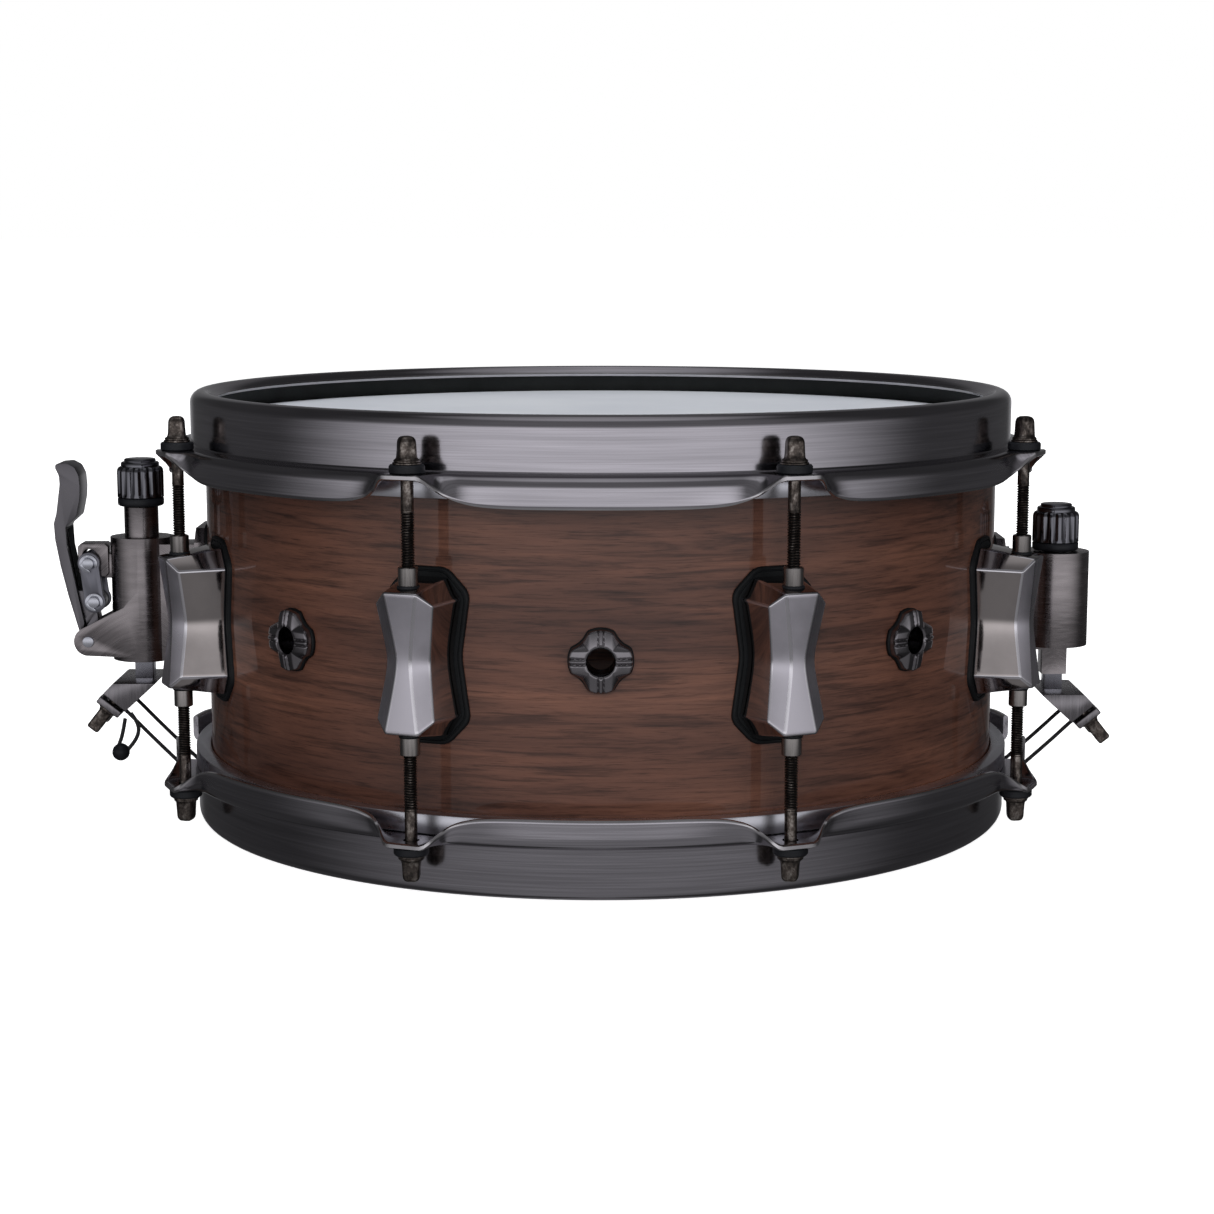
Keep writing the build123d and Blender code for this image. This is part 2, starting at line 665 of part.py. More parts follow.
def cord_route(x, side, top, y):
    """From the end plate, under the bearing edge and up between block and plate."""
    place = clamp_frame(x, side, top)
    (ax, az), (ex, ez) = clamp_face()
    nx, nz = clamp_normal()
    half_gap = CLAMP_GAP / 2
    entry = place(ex + half_gap * nx, ez + half_gap * nz)
    inside = place(ex + 0.32 * (ax - ex) + half_gap * nx, ez + 0.32 * (az - ez) + half_gap * nz)
    under = LOWER_EDGE_Z - FILM - CORD_R
    return [
        (side * (WIRE_END_X + 3.2), y, under - 0.2), (side * (SHELL_R + 3.8), y, under - 1.5),
        (entry[0], y, entry[1]), (inside[0], y, inside[1]),
    ]


TAIL_ROUTE = [
    (-213.0, -17.5, 44.6), (-209.6, -17.5, 40.0), (-209.7, -17.5, 34.4),
    (-213.4, -17.5, 29.0), (-217.2, -17.5, 25.4), (-219.6, -17.5, 26.6),
    (-218.9, -17.5, 29.6), (-216.9, -17.5, 34.6), (-215.6, -17.5, 42.0),
]
BEAD = (-217.9, -17.5, 26.6)


# ---- build --------------------------------------------------------------------------
def build():
    """Make every node and write its file."""
    os.makedirs("parts", exist_ok=True)

    film = make_film()
    flesh_hoop = make_flesh_hoop()
    save("shell", make_shell())
    save("batter_head", film)
    save("batter_flesh_hoop", flesh_hoop)
    save("snare_head", flipped(film))
    save("snare_flesh_hoop", flipped(flesh_hoop))
    save("batter_hoop", make_hoop())
    save("snare_hoop", make_snare_hoop())

    nut, rod = make_swivel_nut(), make_rod()
    steel, nylon = make_steel_washer(), make_nylon_washer()
    save("lugs", around(make_lug(), LUG_ANGLES))
    side_gaskets = [make_side_gasket(-1, 21.5, 34.5), make_side_gasket(1, 20.5, 29.5)]
    save("gaskets", around(make_lug_gasket(), LUG_ANGLES) + side_gaskets)
    save("swivel_nuts", around(nut, LUG_ANGLES) + around(flipped(nut), LUG_ANGLES))
    save("rod_washers", around(steel, LUG_ANGLES) + around(flipped(steel), LUG_ANGLES))
    save("nylon_washers", around(nylon, LUG_ANGLES) + around(flipped(nylon), LUG_ANGLES))
    for i, angle in enumerate(LUG_ANGLES):
        save(f"upper_rod_{i + 1}", Rot(0, 0, angle) * rod)
        save(f"lower_rod_{i + 1}", Rot(0, 0, angle) * flipped(rod))

    screws = []
    for height in (MID_Z - 21, MID_Z + 21):
        screws += around(make_shell_screw(height, 15.0), LUG_ANGLES + [90, 270])
        screws += around(make_shell_washer(height), LUG_ANGLES + [90, 270])
    save("shell_screws", screws)

    save("vents", around(make_vent(), VENT_ANGLES) + around(make_vent_nut(), VENT_ANGLES))
    save("vent_gaskets", around(make_vent_gasket(), VENT_ANGLES))

    save("strainer_housing", make_strainer_housing())
    save("strainer_lever_pin", cross_pin(2.55, 15.0, LEVER_PIVOT))
    save("strainer_lever", make_lever())
    save("strainer_links", make_links())
    save("strainer_link_pins", make_link_pins() + make_link_clips())
    save("strainer_clevis", make_clevis())
    save("strainer_sleeve", make_sleeve())
    strainer_screw = make_adjuster(STRAINER_X, 72.0, 132.0, 141.0)
    save("strainer_knob", [make_knob(STRAINER_X, 141.0, 158.7), strainer_screw])
    save("strainer_knob_ring", disc(KNOB_R - 0.1, 137.3, 141.0, STRAINER_X) - disc(
        5.0, 137, 142, STRAINER_X))
    save("strainer_post", make_post(STRAINER_X, STRAINER_CLAMP_Z, 92.0))
    save("strainer_clamp_block", make_clamp_block(STRAINER_X, -1, STRAINER_CLAMP_Z))
    save("strainer_clamp_plate", make_clamp_plate(STRAINER_X, -1, STRAINER_CLAMP_Z))

    save("butt_housing", make_butt_housing())
    butt_screw = make_adjuster(BUTT_X, 66.0, 112.0, 120.6)
    save("butt_knob", [make_knob(BUTT_X, 120.6, 138.2), butt_screw])
    save("butt_knob_ring", disc(KNOB_R - 0.1, 117.0, 120.6, BUTT_X) - disc(
        5.0, 116, 122, BUTT_X))
    save("butt_post", make_post(BUTT_X, BUTT_CLAMP_Z, 96.0))
    save("butt_clamp_block", make_clamp_block(BUTT_X, 1, BUTT_CLAMP_Z))
    save("butt_clamp_plate", make_clamp_plate(BUTT_X, 1, BUTT_CLAMP_Z))

    for name, x, side, top in (("strainer", STRAINER_X, -1, STRAINER_CLAMP_Z),
                               ("butt", BUTT_X, 1, BUTT_CLAMP_Z)):
        for word, y in (("front", -CLAMP_SCREW_Y), ("back", CLAMP_SCREW_Y)):
            save(f"{name}_clamp_screw_{word}", make_clamp_screw(x, side, top, y))
        cords = [cord(cord_route(x, side, top, y)) for y in (-CORD_Y, CORD_Y)]
        save(f"{name}_cords", cords)

    save("snare_wires", make_wires())
    save("snare_end_plates", make_end_plates())
    save("tail_cord", cord(TAIL_ROUTE))
    save("tail_bead", Pos(*BEAD) * Sphere(4.0))


build()
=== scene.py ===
"""Looks of the snare drum: every visible piece, its material, the studio and the camera.

Lengths are in metres. Helpers that build a piece at the front of the drum work in
millimetres: u to the right, v away from the axis, z up from the lower rim.
"""

import json
from math import cos, degrees, pi, radians, sin, sqrt

import bmesh
import bpy
from mathutils import Matrix, Vector
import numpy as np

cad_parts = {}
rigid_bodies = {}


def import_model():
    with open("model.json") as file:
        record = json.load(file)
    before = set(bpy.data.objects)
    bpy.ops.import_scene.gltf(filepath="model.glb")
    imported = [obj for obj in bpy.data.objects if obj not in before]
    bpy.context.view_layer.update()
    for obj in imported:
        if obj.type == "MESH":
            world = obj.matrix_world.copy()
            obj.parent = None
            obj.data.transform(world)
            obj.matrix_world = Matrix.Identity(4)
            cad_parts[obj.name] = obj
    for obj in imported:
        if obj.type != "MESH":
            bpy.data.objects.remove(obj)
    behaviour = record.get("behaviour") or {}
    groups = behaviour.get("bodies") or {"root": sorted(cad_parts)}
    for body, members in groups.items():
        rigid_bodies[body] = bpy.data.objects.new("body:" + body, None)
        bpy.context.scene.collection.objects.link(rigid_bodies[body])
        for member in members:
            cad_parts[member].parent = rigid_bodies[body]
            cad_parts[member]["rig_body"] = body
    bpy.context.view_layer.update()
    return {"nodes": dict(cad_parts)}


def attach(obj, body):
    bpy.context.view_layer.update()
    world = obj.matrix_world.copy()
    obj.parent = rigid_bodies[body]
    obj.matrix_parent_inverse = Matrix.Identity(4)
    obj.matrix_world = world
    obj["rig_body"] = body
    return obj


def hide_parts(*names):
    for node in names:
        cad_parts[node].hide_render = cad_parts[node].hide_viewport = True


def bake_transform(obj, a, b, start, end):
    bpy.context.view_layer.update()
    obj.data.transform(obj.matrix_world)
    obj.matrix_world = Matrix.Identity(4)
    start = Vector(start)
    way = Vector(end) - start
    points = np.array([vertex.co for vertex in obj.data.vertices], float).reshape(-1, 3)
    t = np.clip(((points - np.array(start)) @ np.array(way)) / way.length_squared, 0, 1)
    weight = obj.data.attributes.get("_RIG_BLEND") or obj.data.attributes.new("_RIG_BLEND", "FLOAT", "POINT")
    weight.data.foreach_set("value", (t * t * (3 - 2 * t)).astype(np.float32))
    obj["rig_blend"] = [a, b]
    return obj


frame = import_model()

MM = 0.001
HEIGHT = 191.0
MID_Z = HEIGHT / 2
SHELL_R = 177.0
ROD_R = 194.3                 # circle of the tension rods
SHEET = 2.3                   # thickness of the hoops
LUG_ANGLES = [22.5 + 45.0 * i for i in range(8)]
VENT_ANGLES = [0.0, 45.0, 135.0, 180.0, 225.0, 315.0]
STRAINER_X = -208.8
BUTT_X = 207.0
CORD_R = 0.9


# ---- materials ----------------------------------------------------------------------
def add_node(tree, kind, inputs=None, **settings):
    """A shader node with its settings, and its inputs set or linked."""
    made = tree.nodes.new("ShaderNode" + kind)
    for key, value in settings.items():
        setattr(made, key, value)
    for key, value in (inputs or {}).items():
        if isinstance(value, bpy.types.NodeSocket):
            tree.links.new(value, made.inputs[key])
        else:
            made.inputs[key].default_value = value
    return made


class Shader:
    """A principled material and short ways to add nodes to it."""

    def __init__(self, name, **values):
        self.material = bpy.data.materials.new(name)
        self.material.use_nodes = True
        self.tree = self.material.node_tree
        self.bsdf = self.tree.nodes["Principled BSDF"]
        for key, value in values.items():
            self.bsdf.inputs[key.replace("_", " ")].default_value = value
        self.position = self.tree.nodes.new("ShaderNodeNewGeometry").outputs["Position"]

    def node(self, kind, inputs=None, **settings):
        return add_node(self.tree, kind, inputs, **settings)

    def link(self, socket, name):
        self.tree.links.new(socket, self.bsdf.inputs[name])

    def math(self, operation, a, b=0.0, c=0.0):
        return self.node("Math", {0: a, 1: b, 2: c}, operation=operation).outputs[0]

    def scaled(self, scale, source=None):
        """The position, or another vector, times a scale for each axis."""
        source = source or self.position
        return self.node("VectorMath", {0: source, 1: scale}, operation="MULTIPLY").outputs[0]

    def around(self, along, across, x=0.0):
        """Coordinates for marks that run around an upright axis at x, without a seam."""
        parts = self.node("SeparateXYZ", {0: self.position})
        dx = self.math("SUBTRACT", parts.outputs[0], x)
        dy = parts.outputs[1]
        distance = self.math("SQRT", self.math(
            "ADD", self.math("MULTIPLY", dx, dx), self.math("MULTIPLY", dy, dy)))
        far = self.math("MAXIMUM", distance, 0.0001)
        ux = self.math("MULTIPLY", self.math("DIVIDE", dx, far), along)
        uy = self.math("MULTIPLY", self.math("DIVIDE", dy, far), along)
        height = self.math("MULTIPLY", self.math("ADD", parts.outputs[2], distance), across)
        return self.node("CombineXYZ", {0: ux, 1: uy, 2: height}).outputs[0]

    def noise(self, vector, scale=1.0, detail=4.0, roughness=0.55, distortion=0.0):
        return self.node("TexNoise", {
            "Vector": vector, "Scale": scale, "Detail": detail, "Roughness": roughness,
            "Distortion": distortion}).outputs["Fac"]

    def ramp(self, value, stops):
        made = self.node("ValToRGB", {0: value})
        elements = made.color_ramp.elements
        while len(elements) < len(stops):
            elements.new(0.5)
        for element, (place, colour) in zip(elements, stops):
            element.position = place
            level = colour if isinstance(colour, tuple) else (colour,) * 3
            element.color = (*level, 1.0)
        return made.outputs[0]

    def mix(self, factor, a, b, blend="MIX"):
        made = self.tree.nodes.new("ShaderNodeMix")
        made.data_type = "RGBA"
        made.blend_type = blend
        for key, value in ((0, factor), (6, a), (7, b)):
            if isinstance(value, bpy.types.NodeSocket):
                self.tree.links.new(value, made.inputs[key])
            else:
                made.inputs[key].default_value = value if key == 0 else (*value, 1.0)
        return made.outputs[2]

    def bump(self, height, strength, distance):
        made = self.node("Bump", {"Height": height, "Strength": strength, "Distance": distance})
        self.link(made.outputs[0], "Normal")


def walnut():
    """Lacquered walnut whose grain runs around the shell."""
    s = Shader("walnut", Roughness=0.5)
    s.bsdf.inputs["Specular IOR Level"].default_value = 0.25
    s.bsdf.inputs["Coat Weight"].default_value = 0.6
    s.bsdf.inputs["Coat Roughness"].default_value = 0.03
    s.bsdf.inputs["Coat IOR"].default_value = 1.5
    wide = s.noise(s.scaled((4.0, 4.0, 26.0)), 1.0, 3.0, 0.5, 0.8)
    figure = s.noise(s.scaled((14.0, 14.0, 190.0)), 1.0, 5.0, 0.6, 1.0)
    streaks = s.noise(s.scaled((30.0, 30.0, 620.0)), 1.0, 4.0, 0.65, 0.5)
    pores = s.noise(s.scaled((110.0, 110.0, 2400.0)), 1.0, 3.0, 0.6)
    tone = s.ramp(wide, [(0.32, (0.1, 0.042, 0.029)), (0.5, (0.165, 0.07, 0.046)),
                         (0.7, (0.245, 0.106, 0.067))])
    dark = s.ramp(figure, [(0.33, (0.3, 0.3, 0.33)), (0.47, (0.85, 0.85, 0.86)),
                           (0.7, (1.15, 1.12, 1.08))])
    colour = s.mix(0.8, tone, dark, "MULTIPLY")
    grain = s.ramp(streaks, [(0.34, 0.4), (0.48, 0.95), (0.7, 1.2)])
    colour = s.mix(0.75, colour, grain, "MULTIPLY")
    pore = s.ramp(pores, [(0.33, 0.35), (0.44, 1.0)])
    colour = s.mix(0.55, colour, pore, "MULTIPLY")
    s.link(colour, "Base Color")
    s.bump(streaks, 0.05, 0.0001)
    return s.material


def brushed(name, colour, roughness, along=4.0, across=2600.0, x=0.0, contrast=0.25, bump=0.06,
            upright=False):
    """Plated metal with fine brush lines around an upright axis at x."""
    s = Shader(name, Metallic=1.0)
    if upright:
        vector = s.scaled((across, across, along))
    else:
        vector = s.around(along, across, x)
    lines = s.noise(vector, 1.0, 2.0, 0.6)
    wide = s.noise(s.scaled((0.6, 0.6, 0.22), vector), 1.0, 2.0, 0.5)
    low = tuple(c * (1 - contrast) for c in colour)
    high = tuple(min(1.0, c * (1 + contrast)) for c in colour)
    base = s.ramp(lines, [(0.3, low), (0.7, high)])
    base = s.mix(0.5, base, s.ramp(wide, [(0.3, 0.72), (0.7, 1.15)]), "MULTIPLY")
    s.link(base, "Base Color")
    rough = s.ramp(lines, [(0.3, roughness * 0.8), (0.7, roughness * 1.25)])
    s.link(rough, "Roughness")
    s.bump(lines, bump, 0.00003)
    return s.material


def plated(name, colour, roughness, grain=0.1):
    """Cast and plated metal, with a faint grain and slow changes of tone."""
    s = Shader(name, Metallic=1.0)
    cloud = s.noise(s.scaled((40.0, 40.0, 40.0)), 1.0, 4.0)
    speckle = s.noise(s.scaled((1800.0,) * 3), 1.0, 3.0, 0.7)
    low = tuple(c * 0.86 for c in colour)
    high = tuple(min(1.0, c * 1.06) for c in colour)
    s.link(s.ramp(cloud, [(0.35, low), (0.65, high)]), "Base Color")
    s.link(s.ramp(cloud, [(0.3, roughness * 0.8), (0.7, roughness * 1.2)]), "Roughness")
    s.bump(speckle, grain, 0.00003)
    return s.material


def aged_rod():
    """Black nickel rods, blotched with worn bronze and bright spots."""
    s = Shader("aged_rod", Metallic=1.0)
    blotch = s.noise(s.scaled((420.0, 420.0, 300.0)), 1.0, 5.0, 0.7)
    spots = s.noise(s.scaled((1300.0,) * 3), 1.0, 3.0, 0.6)
    base = s.ramp(blotch, [(0.38, (0.06, 0.052, 0.048)), (0.52, (0.15, 0.125, 0.11)),
                           (0.66, (0.4, 0.36, 0.33))])
    base = s.mix(0.4, base, s.ramp(spots, [(0.35, 0.6), (0.7, 1.25)]), "MULTIPLY")
    s.link(base, "Base Color")
    s.link(s.ramp(blotch, [(0.35, 0.42), (0.65, 0.24)]), "Roughness")
    s.bump(spots, 0.22, 0.00008)
    return s.material


def moulded(name, colour, roughness):
    """Moulded rubber or nylon with a fine surface grain."""
    s = Shader(name)
    s.bsdf.inputs["Specular IOR Level"].default_value = 0.28
    speck = s.noise(s.scaled((1500.0,) * 3), 1.0, 3.0, 0.6)
    cloud = s.noise(s.scaled((70.0,) * 3), 1.0, 3.0)
    low = tuple(c * 0.75 for c in colour)
    high = tuple(c * 1.3 for c in colour)
    s.link(s.ramp(cloud, [(0.3, low), (0.7, high)]), "Base Color")
    s.link(s.ramp(speck, [(0.3, roughness * 0.85), (0.7, roughness * 1.15)]), "Roughness")
    s.bump(speck, 0.15, 0.00006)
    return s.material


def coated_film():
    """White film with a sprayed coating, slightly grainy."""
    s = Shader("coated_film")
    s.bsdf.inputs["Specular IOR Level"].default_value = 0.3
    grain = s.noise(s.scaled((2200.0, 2200.0, 2200.0)), 1.0, 3.0, 0.6)
    cloud = s.noise(s.scaled((12.0, 12.0, 12.0)), 1.0, 3.0)
    s.link(s.ramp(cloud, [(0.35, (0.66, 0.69, 0.75)), (0.65, (0.73, 0.76, 0.81))]), "Base Color")
    s.link(s.ramp(grain, [(0.3, 0.42), (0.7, 0.6)]), "Roughness")
    s.bump(grain, 0.25, 0.00005)
    return s.material


def clear_film():
    """Thin hazy film of the snare side."""
    s = Shader("clear_film", Roughness=0.18)
    s.bsdf.inputs["Alpha"].default_value = 0.5
    cloud = s.noise(s.scaled((30.0, 30.0, 30.0)), 1.0, 4.0)
    s.link(s.ramp(cloud, [(0.3, (0.55, 0.57, 0.6)), (0.7, (0.68, 0.7, 0.73))]), "Base Color")
    s.bump(cloud, 0.05, 0.0002)
    return s.material


def braid():
    """Black braided nylon cord."""
    s = Shader("braided_cord", Roughness=0.62)
    s.bsdf.inputs["Sheen Weight"].default_value = 0.25
    wave = s.node("TexWave", {"Vector": s.scaled((1000.0, 1000.0, 1000.0)), "Scale": 0.55,
                              "Distortion": 1.5, "Detail": 2.0}, bands_direction="DIAGONAL")
    s.link(s.ramp(wave.outputs["Fac"], [(0.2, (0.004, 0.004, 0.005)), (0.8, (0.02, 0.02, 0.022))]),
           "Base Color")
    s.bump(wave.outputs["Fac"], 0.5, 0.0002)
    return s.material


MAT = {
    "walnut": walnut(),
    "hoop": brushed("hoop_nickel", (0.46, 0.44, 0.475), 0.15, 3.0, 1300.0, contrast=0.14),
    # black painted shade: the batter hoop's inner wall and the lever's channel
    "painted_shade": moulded("painted_shade_black", (0.012, 0.014, 0.014), 0.5),
    # lighter than the brushed hoop: painted highlight on the hoop's cut edges
    "hoop_edge_painted_highlight": plated("hoop_edge_painted_highlight", (0.62, 0.6, 0.62), 0.2),
    "lug": plated("lug_satin", (0.72, 0.69, 0.75), 0.32, 0.06),
    "lug_end": plated("lug_polished", (0.44, 0.4, 0.39), 0.08, 0.03),
    "lug_edge": plated("lug_edge", (0.72, 0.7, 0.74), 0.14, 0.03),
    "vent": plated("vent_gunmetal", (0.28, 0.265, 0.28), 0.2, 0.04),
    "nut": brushed("nut_steel", (0.3, 0.28, 0.27), 0.26, 60.0, 900.0, contrast=0.3, upright=True),
    "strainer": brushed("strainer_nickel", (0.28, 0.255, 0.26), 0.24, 2.0, 1500.0, -0.2088, 0.16),
    "butt": brushed("butt_nickel", (0.34, 0.31, 0.315), 0.24, 2.0, 1500.0, 0.207, 0.16),
    "clamp": brushed("clamp_nickel", (0.27, 0.255, 0.27), 0.25, 60.0, 1500.0, contrast=0.2,
                     upright=True),
    "lever": plated("lever_gunmetal", (0.16, 0.153, 0.165), 0.26, 0.08),
    "link": plated("link_steel", (0.24, 0.24, 0.275), 0.36, 0.2),
    "zinc": plated("bright_zinc", (0.6, 0.61, 0.67), 0.24, 0.15),
    "knob": plated("knob_black_chrome", (0.18, 0.18, 0.2), 0.12, 0.02),
    "rod": aged_rod(),
    # near-black painted shade for the bottom of the rods' threads
    "groove": moulded("thread_groove_painted_shade", (0.006, 0.005, 0.005), 0.5),
    "nylon": moulded("black_nylon", (0.012, 0.013, 0.016), 0.4),
    "rubber": moulded("black_rubber", (0.006, 0.007, 0.008), 0.5),
    "film": coated_film(),
    "clear": clear_film(),
    "cord": braid(),
    "aluminium": plated("flesh_hoop_aluminium", (0.82, 0.82, 0.88), 0.3, 0.1),
}


# ---- building helpers ---------------------------------------------------------------
def placed(name, data):
    """A new object in the scene."""
    made = bpy.data.objects.new(name, data)
    bpy.context.scene.collection.objects.link(made)
    return made


def piece(name, vertices, faces, materials, body="drum", sharp=None):
    """A mesh object from vertices in millimetres, riding on a body."""
    mesh = bpy.data.meshes.new(name)
    mesh.from_pydata([Vector(v) * MM for v in vertices], [], faces)
    mesh.validate()
    mesh.update()
    for key in materials if isinstance(materials, (list, tuple)) else [materials]:
        mesh.materials.append(MAT[key])
    made = placed(name, mesh)
    mesh.shade_smooth()
    if sharp is not None:
        mesh.set_sharp_from_angle(angle=radians(sharp))
    if body:
        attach(made, body)
    return made


def outward(made, weld=False):
    """Turn every face of a closed mesh outward, and perhaps merge points that meet."""
    work = bmesh.new()
    work.from_mesh(made.data)
    if weld:
        bmesh.ops.remove_doubles(work, verts=work.verts, dist=0.000001)
    bmesh.ops.recalc_face_normals(work, faces=work.faces)
    work.to_mesh(made.data)
    work.free()
    return made


def turned_point(u, v, z, angle):
    """A front point (u, v, z), turned about the drum's axis."""
    a = radians(angle)
    return (v * sin(a) + u * cos(a), -v * cos(a) + u * sin(a), z)


def grid_faces(rows, columns, wrap_rows=False, wrap_columns=True, offset=0):
    """Quads of a grid of points, numbered row by row."""
    faces = []
    for i in range(rows if wrap_rows else rows - 1):
        for j in range(columns if wrap_columns else columns - 1):
            a = offset + i * columns + j
            b = offset + i * columns + (j + 1) % columns
            c = offset + (i + 1) % rows * columns + (j + 1) % columns
            d = offset + (i + 1) % rows * columns + j
            faces.append((a, b, c, d))
    return faces


def capped_faces(rows, columns):
    """Quads of a closed tube of rings, with a face over its first and its last ring."""
    last = (rows - 1) * columns
    return grid_faces(rows, columns) + [tuple(reversed(range(columns))),
                                        tuple(range(last, last + columns))]


def lathe(profile, segments=48, x=0.0, y=0.0):
    """Vertices and faces of a profile [(radius, z)] turned about an upright axis."""
    vertices = []
    for radius, z in profile:
        for j in range(segments):
            a = 2 * pi * j / segments
            vertices.append((x + radius * cos(a), y + radius * sin(a), z))
    return vertices, capped_faces(len(profile), segments)


def lathe_ring(profile, segments, x=0.0):
    """A closed section [(radius, z)] turned about an upright axis, with a hole through it."""
    return lathe(profile, segments, x)[0], grid_faces(len(profile), segments, wrap_rows=True)


def joined(groups):
    """Several (vertices, faces) groups as one."""
    vertices, faces = [], []
    for more, quads in groups:
        start = len(vertices)
        vertices += more
        faces += [tuple(start + i for i in face) for face in quads]
    return vertices, faces


def mapped(group, change):
    """A group with every vertex changed."""
    return [change(*v) for v in group[0]], group[1]


def to_angle(group, angle, flip=False):
    """An upright group at (0, 0), moved to a rod's place and perhaps mirrored down."""
    def change(px, py, pz):
        return turned_point(px, ROD_R - py, HEIGHT - pz if flip else pz, angle)
    vertices, faces = mapped(group, change)
    if flip:
        faces = [tuple(reversed(face)) for face in faces]
    return vertices, faces


def apply_modifiers(made):
    """Replace a piece's mesh with what its modifiers give."""
    graph = bpy.context.evaluated_depsgraph_get()
    mesh = bpy.data.meshes.new_from_object(made.evaluated_get(graph))
    made.modifiers.clear()
    made.data = mesh
    return made


def sharpened(made, angle):
    """Shade a piece smooth, except where its faces turn by more than an angle."""
    made.data.shade_smooth()
    made.data.set_sharp_from_angle(angle=radians(angle))


def bevelled(made, width, segments=2, angle=30, material=-1):
    """Round a piece's sharp edges."""
    modifier = made.modifiers.new("edges", "BEVEL")
    modifier.width = width * MM
    modifier.segments = segments
    modifier.limit_method = "ANGLE"
    modifier.angle_limit = radians(angle)
    modifier.material = material
    modifier.harden_normals = False
    modifier.miter_outer = "MITER_ARC"
    apply_modifiers(made)
    sharpened(made, 40)
    return made


def softened(node, name, material, width=0.35, segments=2, angle=28):
    """A copy of a CAD node with clean flat faces and rounded edges, in the node's place."""
    source = frame["nodes"][node]
    mesh = source.data.copy()
    mesh.name = name
    mesh.materials.clear()
    mesh.materials.append(MAT[material])
    made = placed(name, mesh)
    work = bmesh.new()
    work.from_mesh(mesh)
    bmesh.ops.remove_doubles(work, verts=work.verts, dist=0.00002)
    bmesh.ops.dissolve_limit(work, angle_limit=radians(1.0), verts=work.verts, edges=work.edges)
    for face in work.faces:
        face.material_index = 0
    work.to_mesh(mesh)
    work.free()
    for attribute in [a.name for a in mesh.attributes if a.name == "custom_normal"]:
        mesh.attributes.remove(mesh.attributes[attribute])
    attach(made, source["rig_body"])
    bevelled(made, width, segments, angle)
    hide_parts(node)
    return made


# ---- camera and studio --------------------------------------------------------------
def make_camera():
    """The view slightly from above, at the height of a seated player's hands."""
    data = bpy.data.cameras.new("camera")
    data.sensor_width = 36.0
    data.lens = 76.19
    data.shift_x = 0.0019
    data.shift_y = 0.0206
    camera = placed("camera", data)
    camera.location = (0.0, -1.162193, 0.261524)
    camera.rotation_euler = (radians(90 - 8.9307), 0.0, radians(-0.087))
    bpy.context.scene.camera = camera


def make_world():
    """White to the camera; the metal reflects soft panels in front, behind and above."""
    world = bpy.data.worlds.new("studio")
    bpy.context.scene.world = world
    world.use_nodes = True
    tree = world.node_tree
    tree.nodes.clear()

    def node(kind, inputs=None, **settings):
        return add_node(tree, kind, inputs, **settings)

    def math(operation, a, b=0.0):
        return node("Math", {0: a, 1: b}, operation=operation).outputs[0]

    def step(value, low, high, bottom, top):
        made = node("MapRange", {0: value, 1: low, 2: high, 3: bottom, 4: top})
        made.interpolation_type = "SMOOTHSTEP"
        return made.outputs[0]

    direction = node("TexCoord").outputs["Generated"]
    parts = node("SeparateXYZ", {0: direction})
    x, y, z = parts.outputs[0], parts.outputs[1], parts.outputs[2]
    level = math("SQRT", math("ADD", math("MULTIPLY", x, x), math("MULTIPLY", y, y)))
    facing = math("DIVIDE", math("MULTIPLY", y, -1.0), math("MAXIMUM", level, 0.001))
    front = step(facing, -0.15, 1.0, 0.03, 1.0)
    low = step(z, -0.3, -0.04, 0.22, 1.0)
    high = step(z, 0.0, 0.35, 1.0, 0.16)
    panel = math("MULTIPLY", math("MULTIPLY", front, low), high)
    behind = step(facing, -0.9, -1.0, 0.0, 0.45)
    level_only = math("MULTIPLY", step(z, -0.3, -0.05, 0.3, 1.0), step(z, -0.05, 0.08, 1.0, 0.2))
    back = math("MULTIPLY", behind, level_only)
    top = step(z, 0.86, 0.98, 0.0, 0.35)
    glow = math("ADD", math("ADD", math("MULTIPLY", panel, 0.92), back), math("ADD", top, 0.035))
    soft = node("Background", {"Color": (0.97, 0.97, 1.0, 1.0), "Strength": glow})
    white = node("Background", {"Color": (1.0, 1.0, 1.0, 1.0), "Strength": 1.0})
    path = node("LightPath")
    mixed = node("MixShader", {0: path.outputs["Is Camera Ray"], 1: soft.outputs[0],
                               2: white.outputs[0]})
    output = node("OutputWorld")
    tree.links.new(mixed.outputs[0], output.inputs[0])


def make_floor():
    """A pale matt floor under the drum, with a soft shadow."""
    shader = Shader("floor", Roughness=0.9)
    cloud = shader.noise(shader.scaled((2.0, 2.0, 2.0)), 1.0, 2.0)
    shader.link(shader.ramp(cloud, [(0.3, 0.93), (0.7, 0.96)]), "Base Color")
    shader.bsdf.inputs["Specular IOR Level"].default_value = 0.1
    shader.bsdf.inputs["Emission Color"].default_value = (1.0, 1.0, 1.0, 1.0)
    shader.bsdf.inputs["Emission Strength"].default_value = 0.9
    radius, rings, segments = 60.0, 3, 96
    mesh = bpy.data.meshes.new("floor")
    points = [(0.0, 0.0, -0.0004)]
    for i in range(1, rings + 1):
        for j in range(segments):
            a = 2 * pi * j / segments
            r = radius * (i / rings) ** 2
            points.append((r * cos(a), r * sin(a), -0.0004))
    faces = [(0, 1 + j, 1 + (j + 1) % segments) for j in range(segments)]
    faces += grid_faces(rings, segments, offset=1)
    mesh.from_pydata(points, [], faces)
    mesh.materials.append(shader.material)
    floor = placed("floor", mesh)
    floor.visible_glossy = False
    floor.visible_diffuse = False


def area_light(name, place, target, size, power):
    """A soft rectangular light aimed at a point."""
    data = bpy.data.lights.new(name, "AREA")
    data.shape = "RECTANGLE"
    data.size, data.size_y = size
    data.energy = power
    light = placed(name, data)
    light.location = place
    aim = Vector(target) - Vector(place)
    light.rotation_euler = aim.to_track_quat("-Z", "Y").to_euler()
    return light


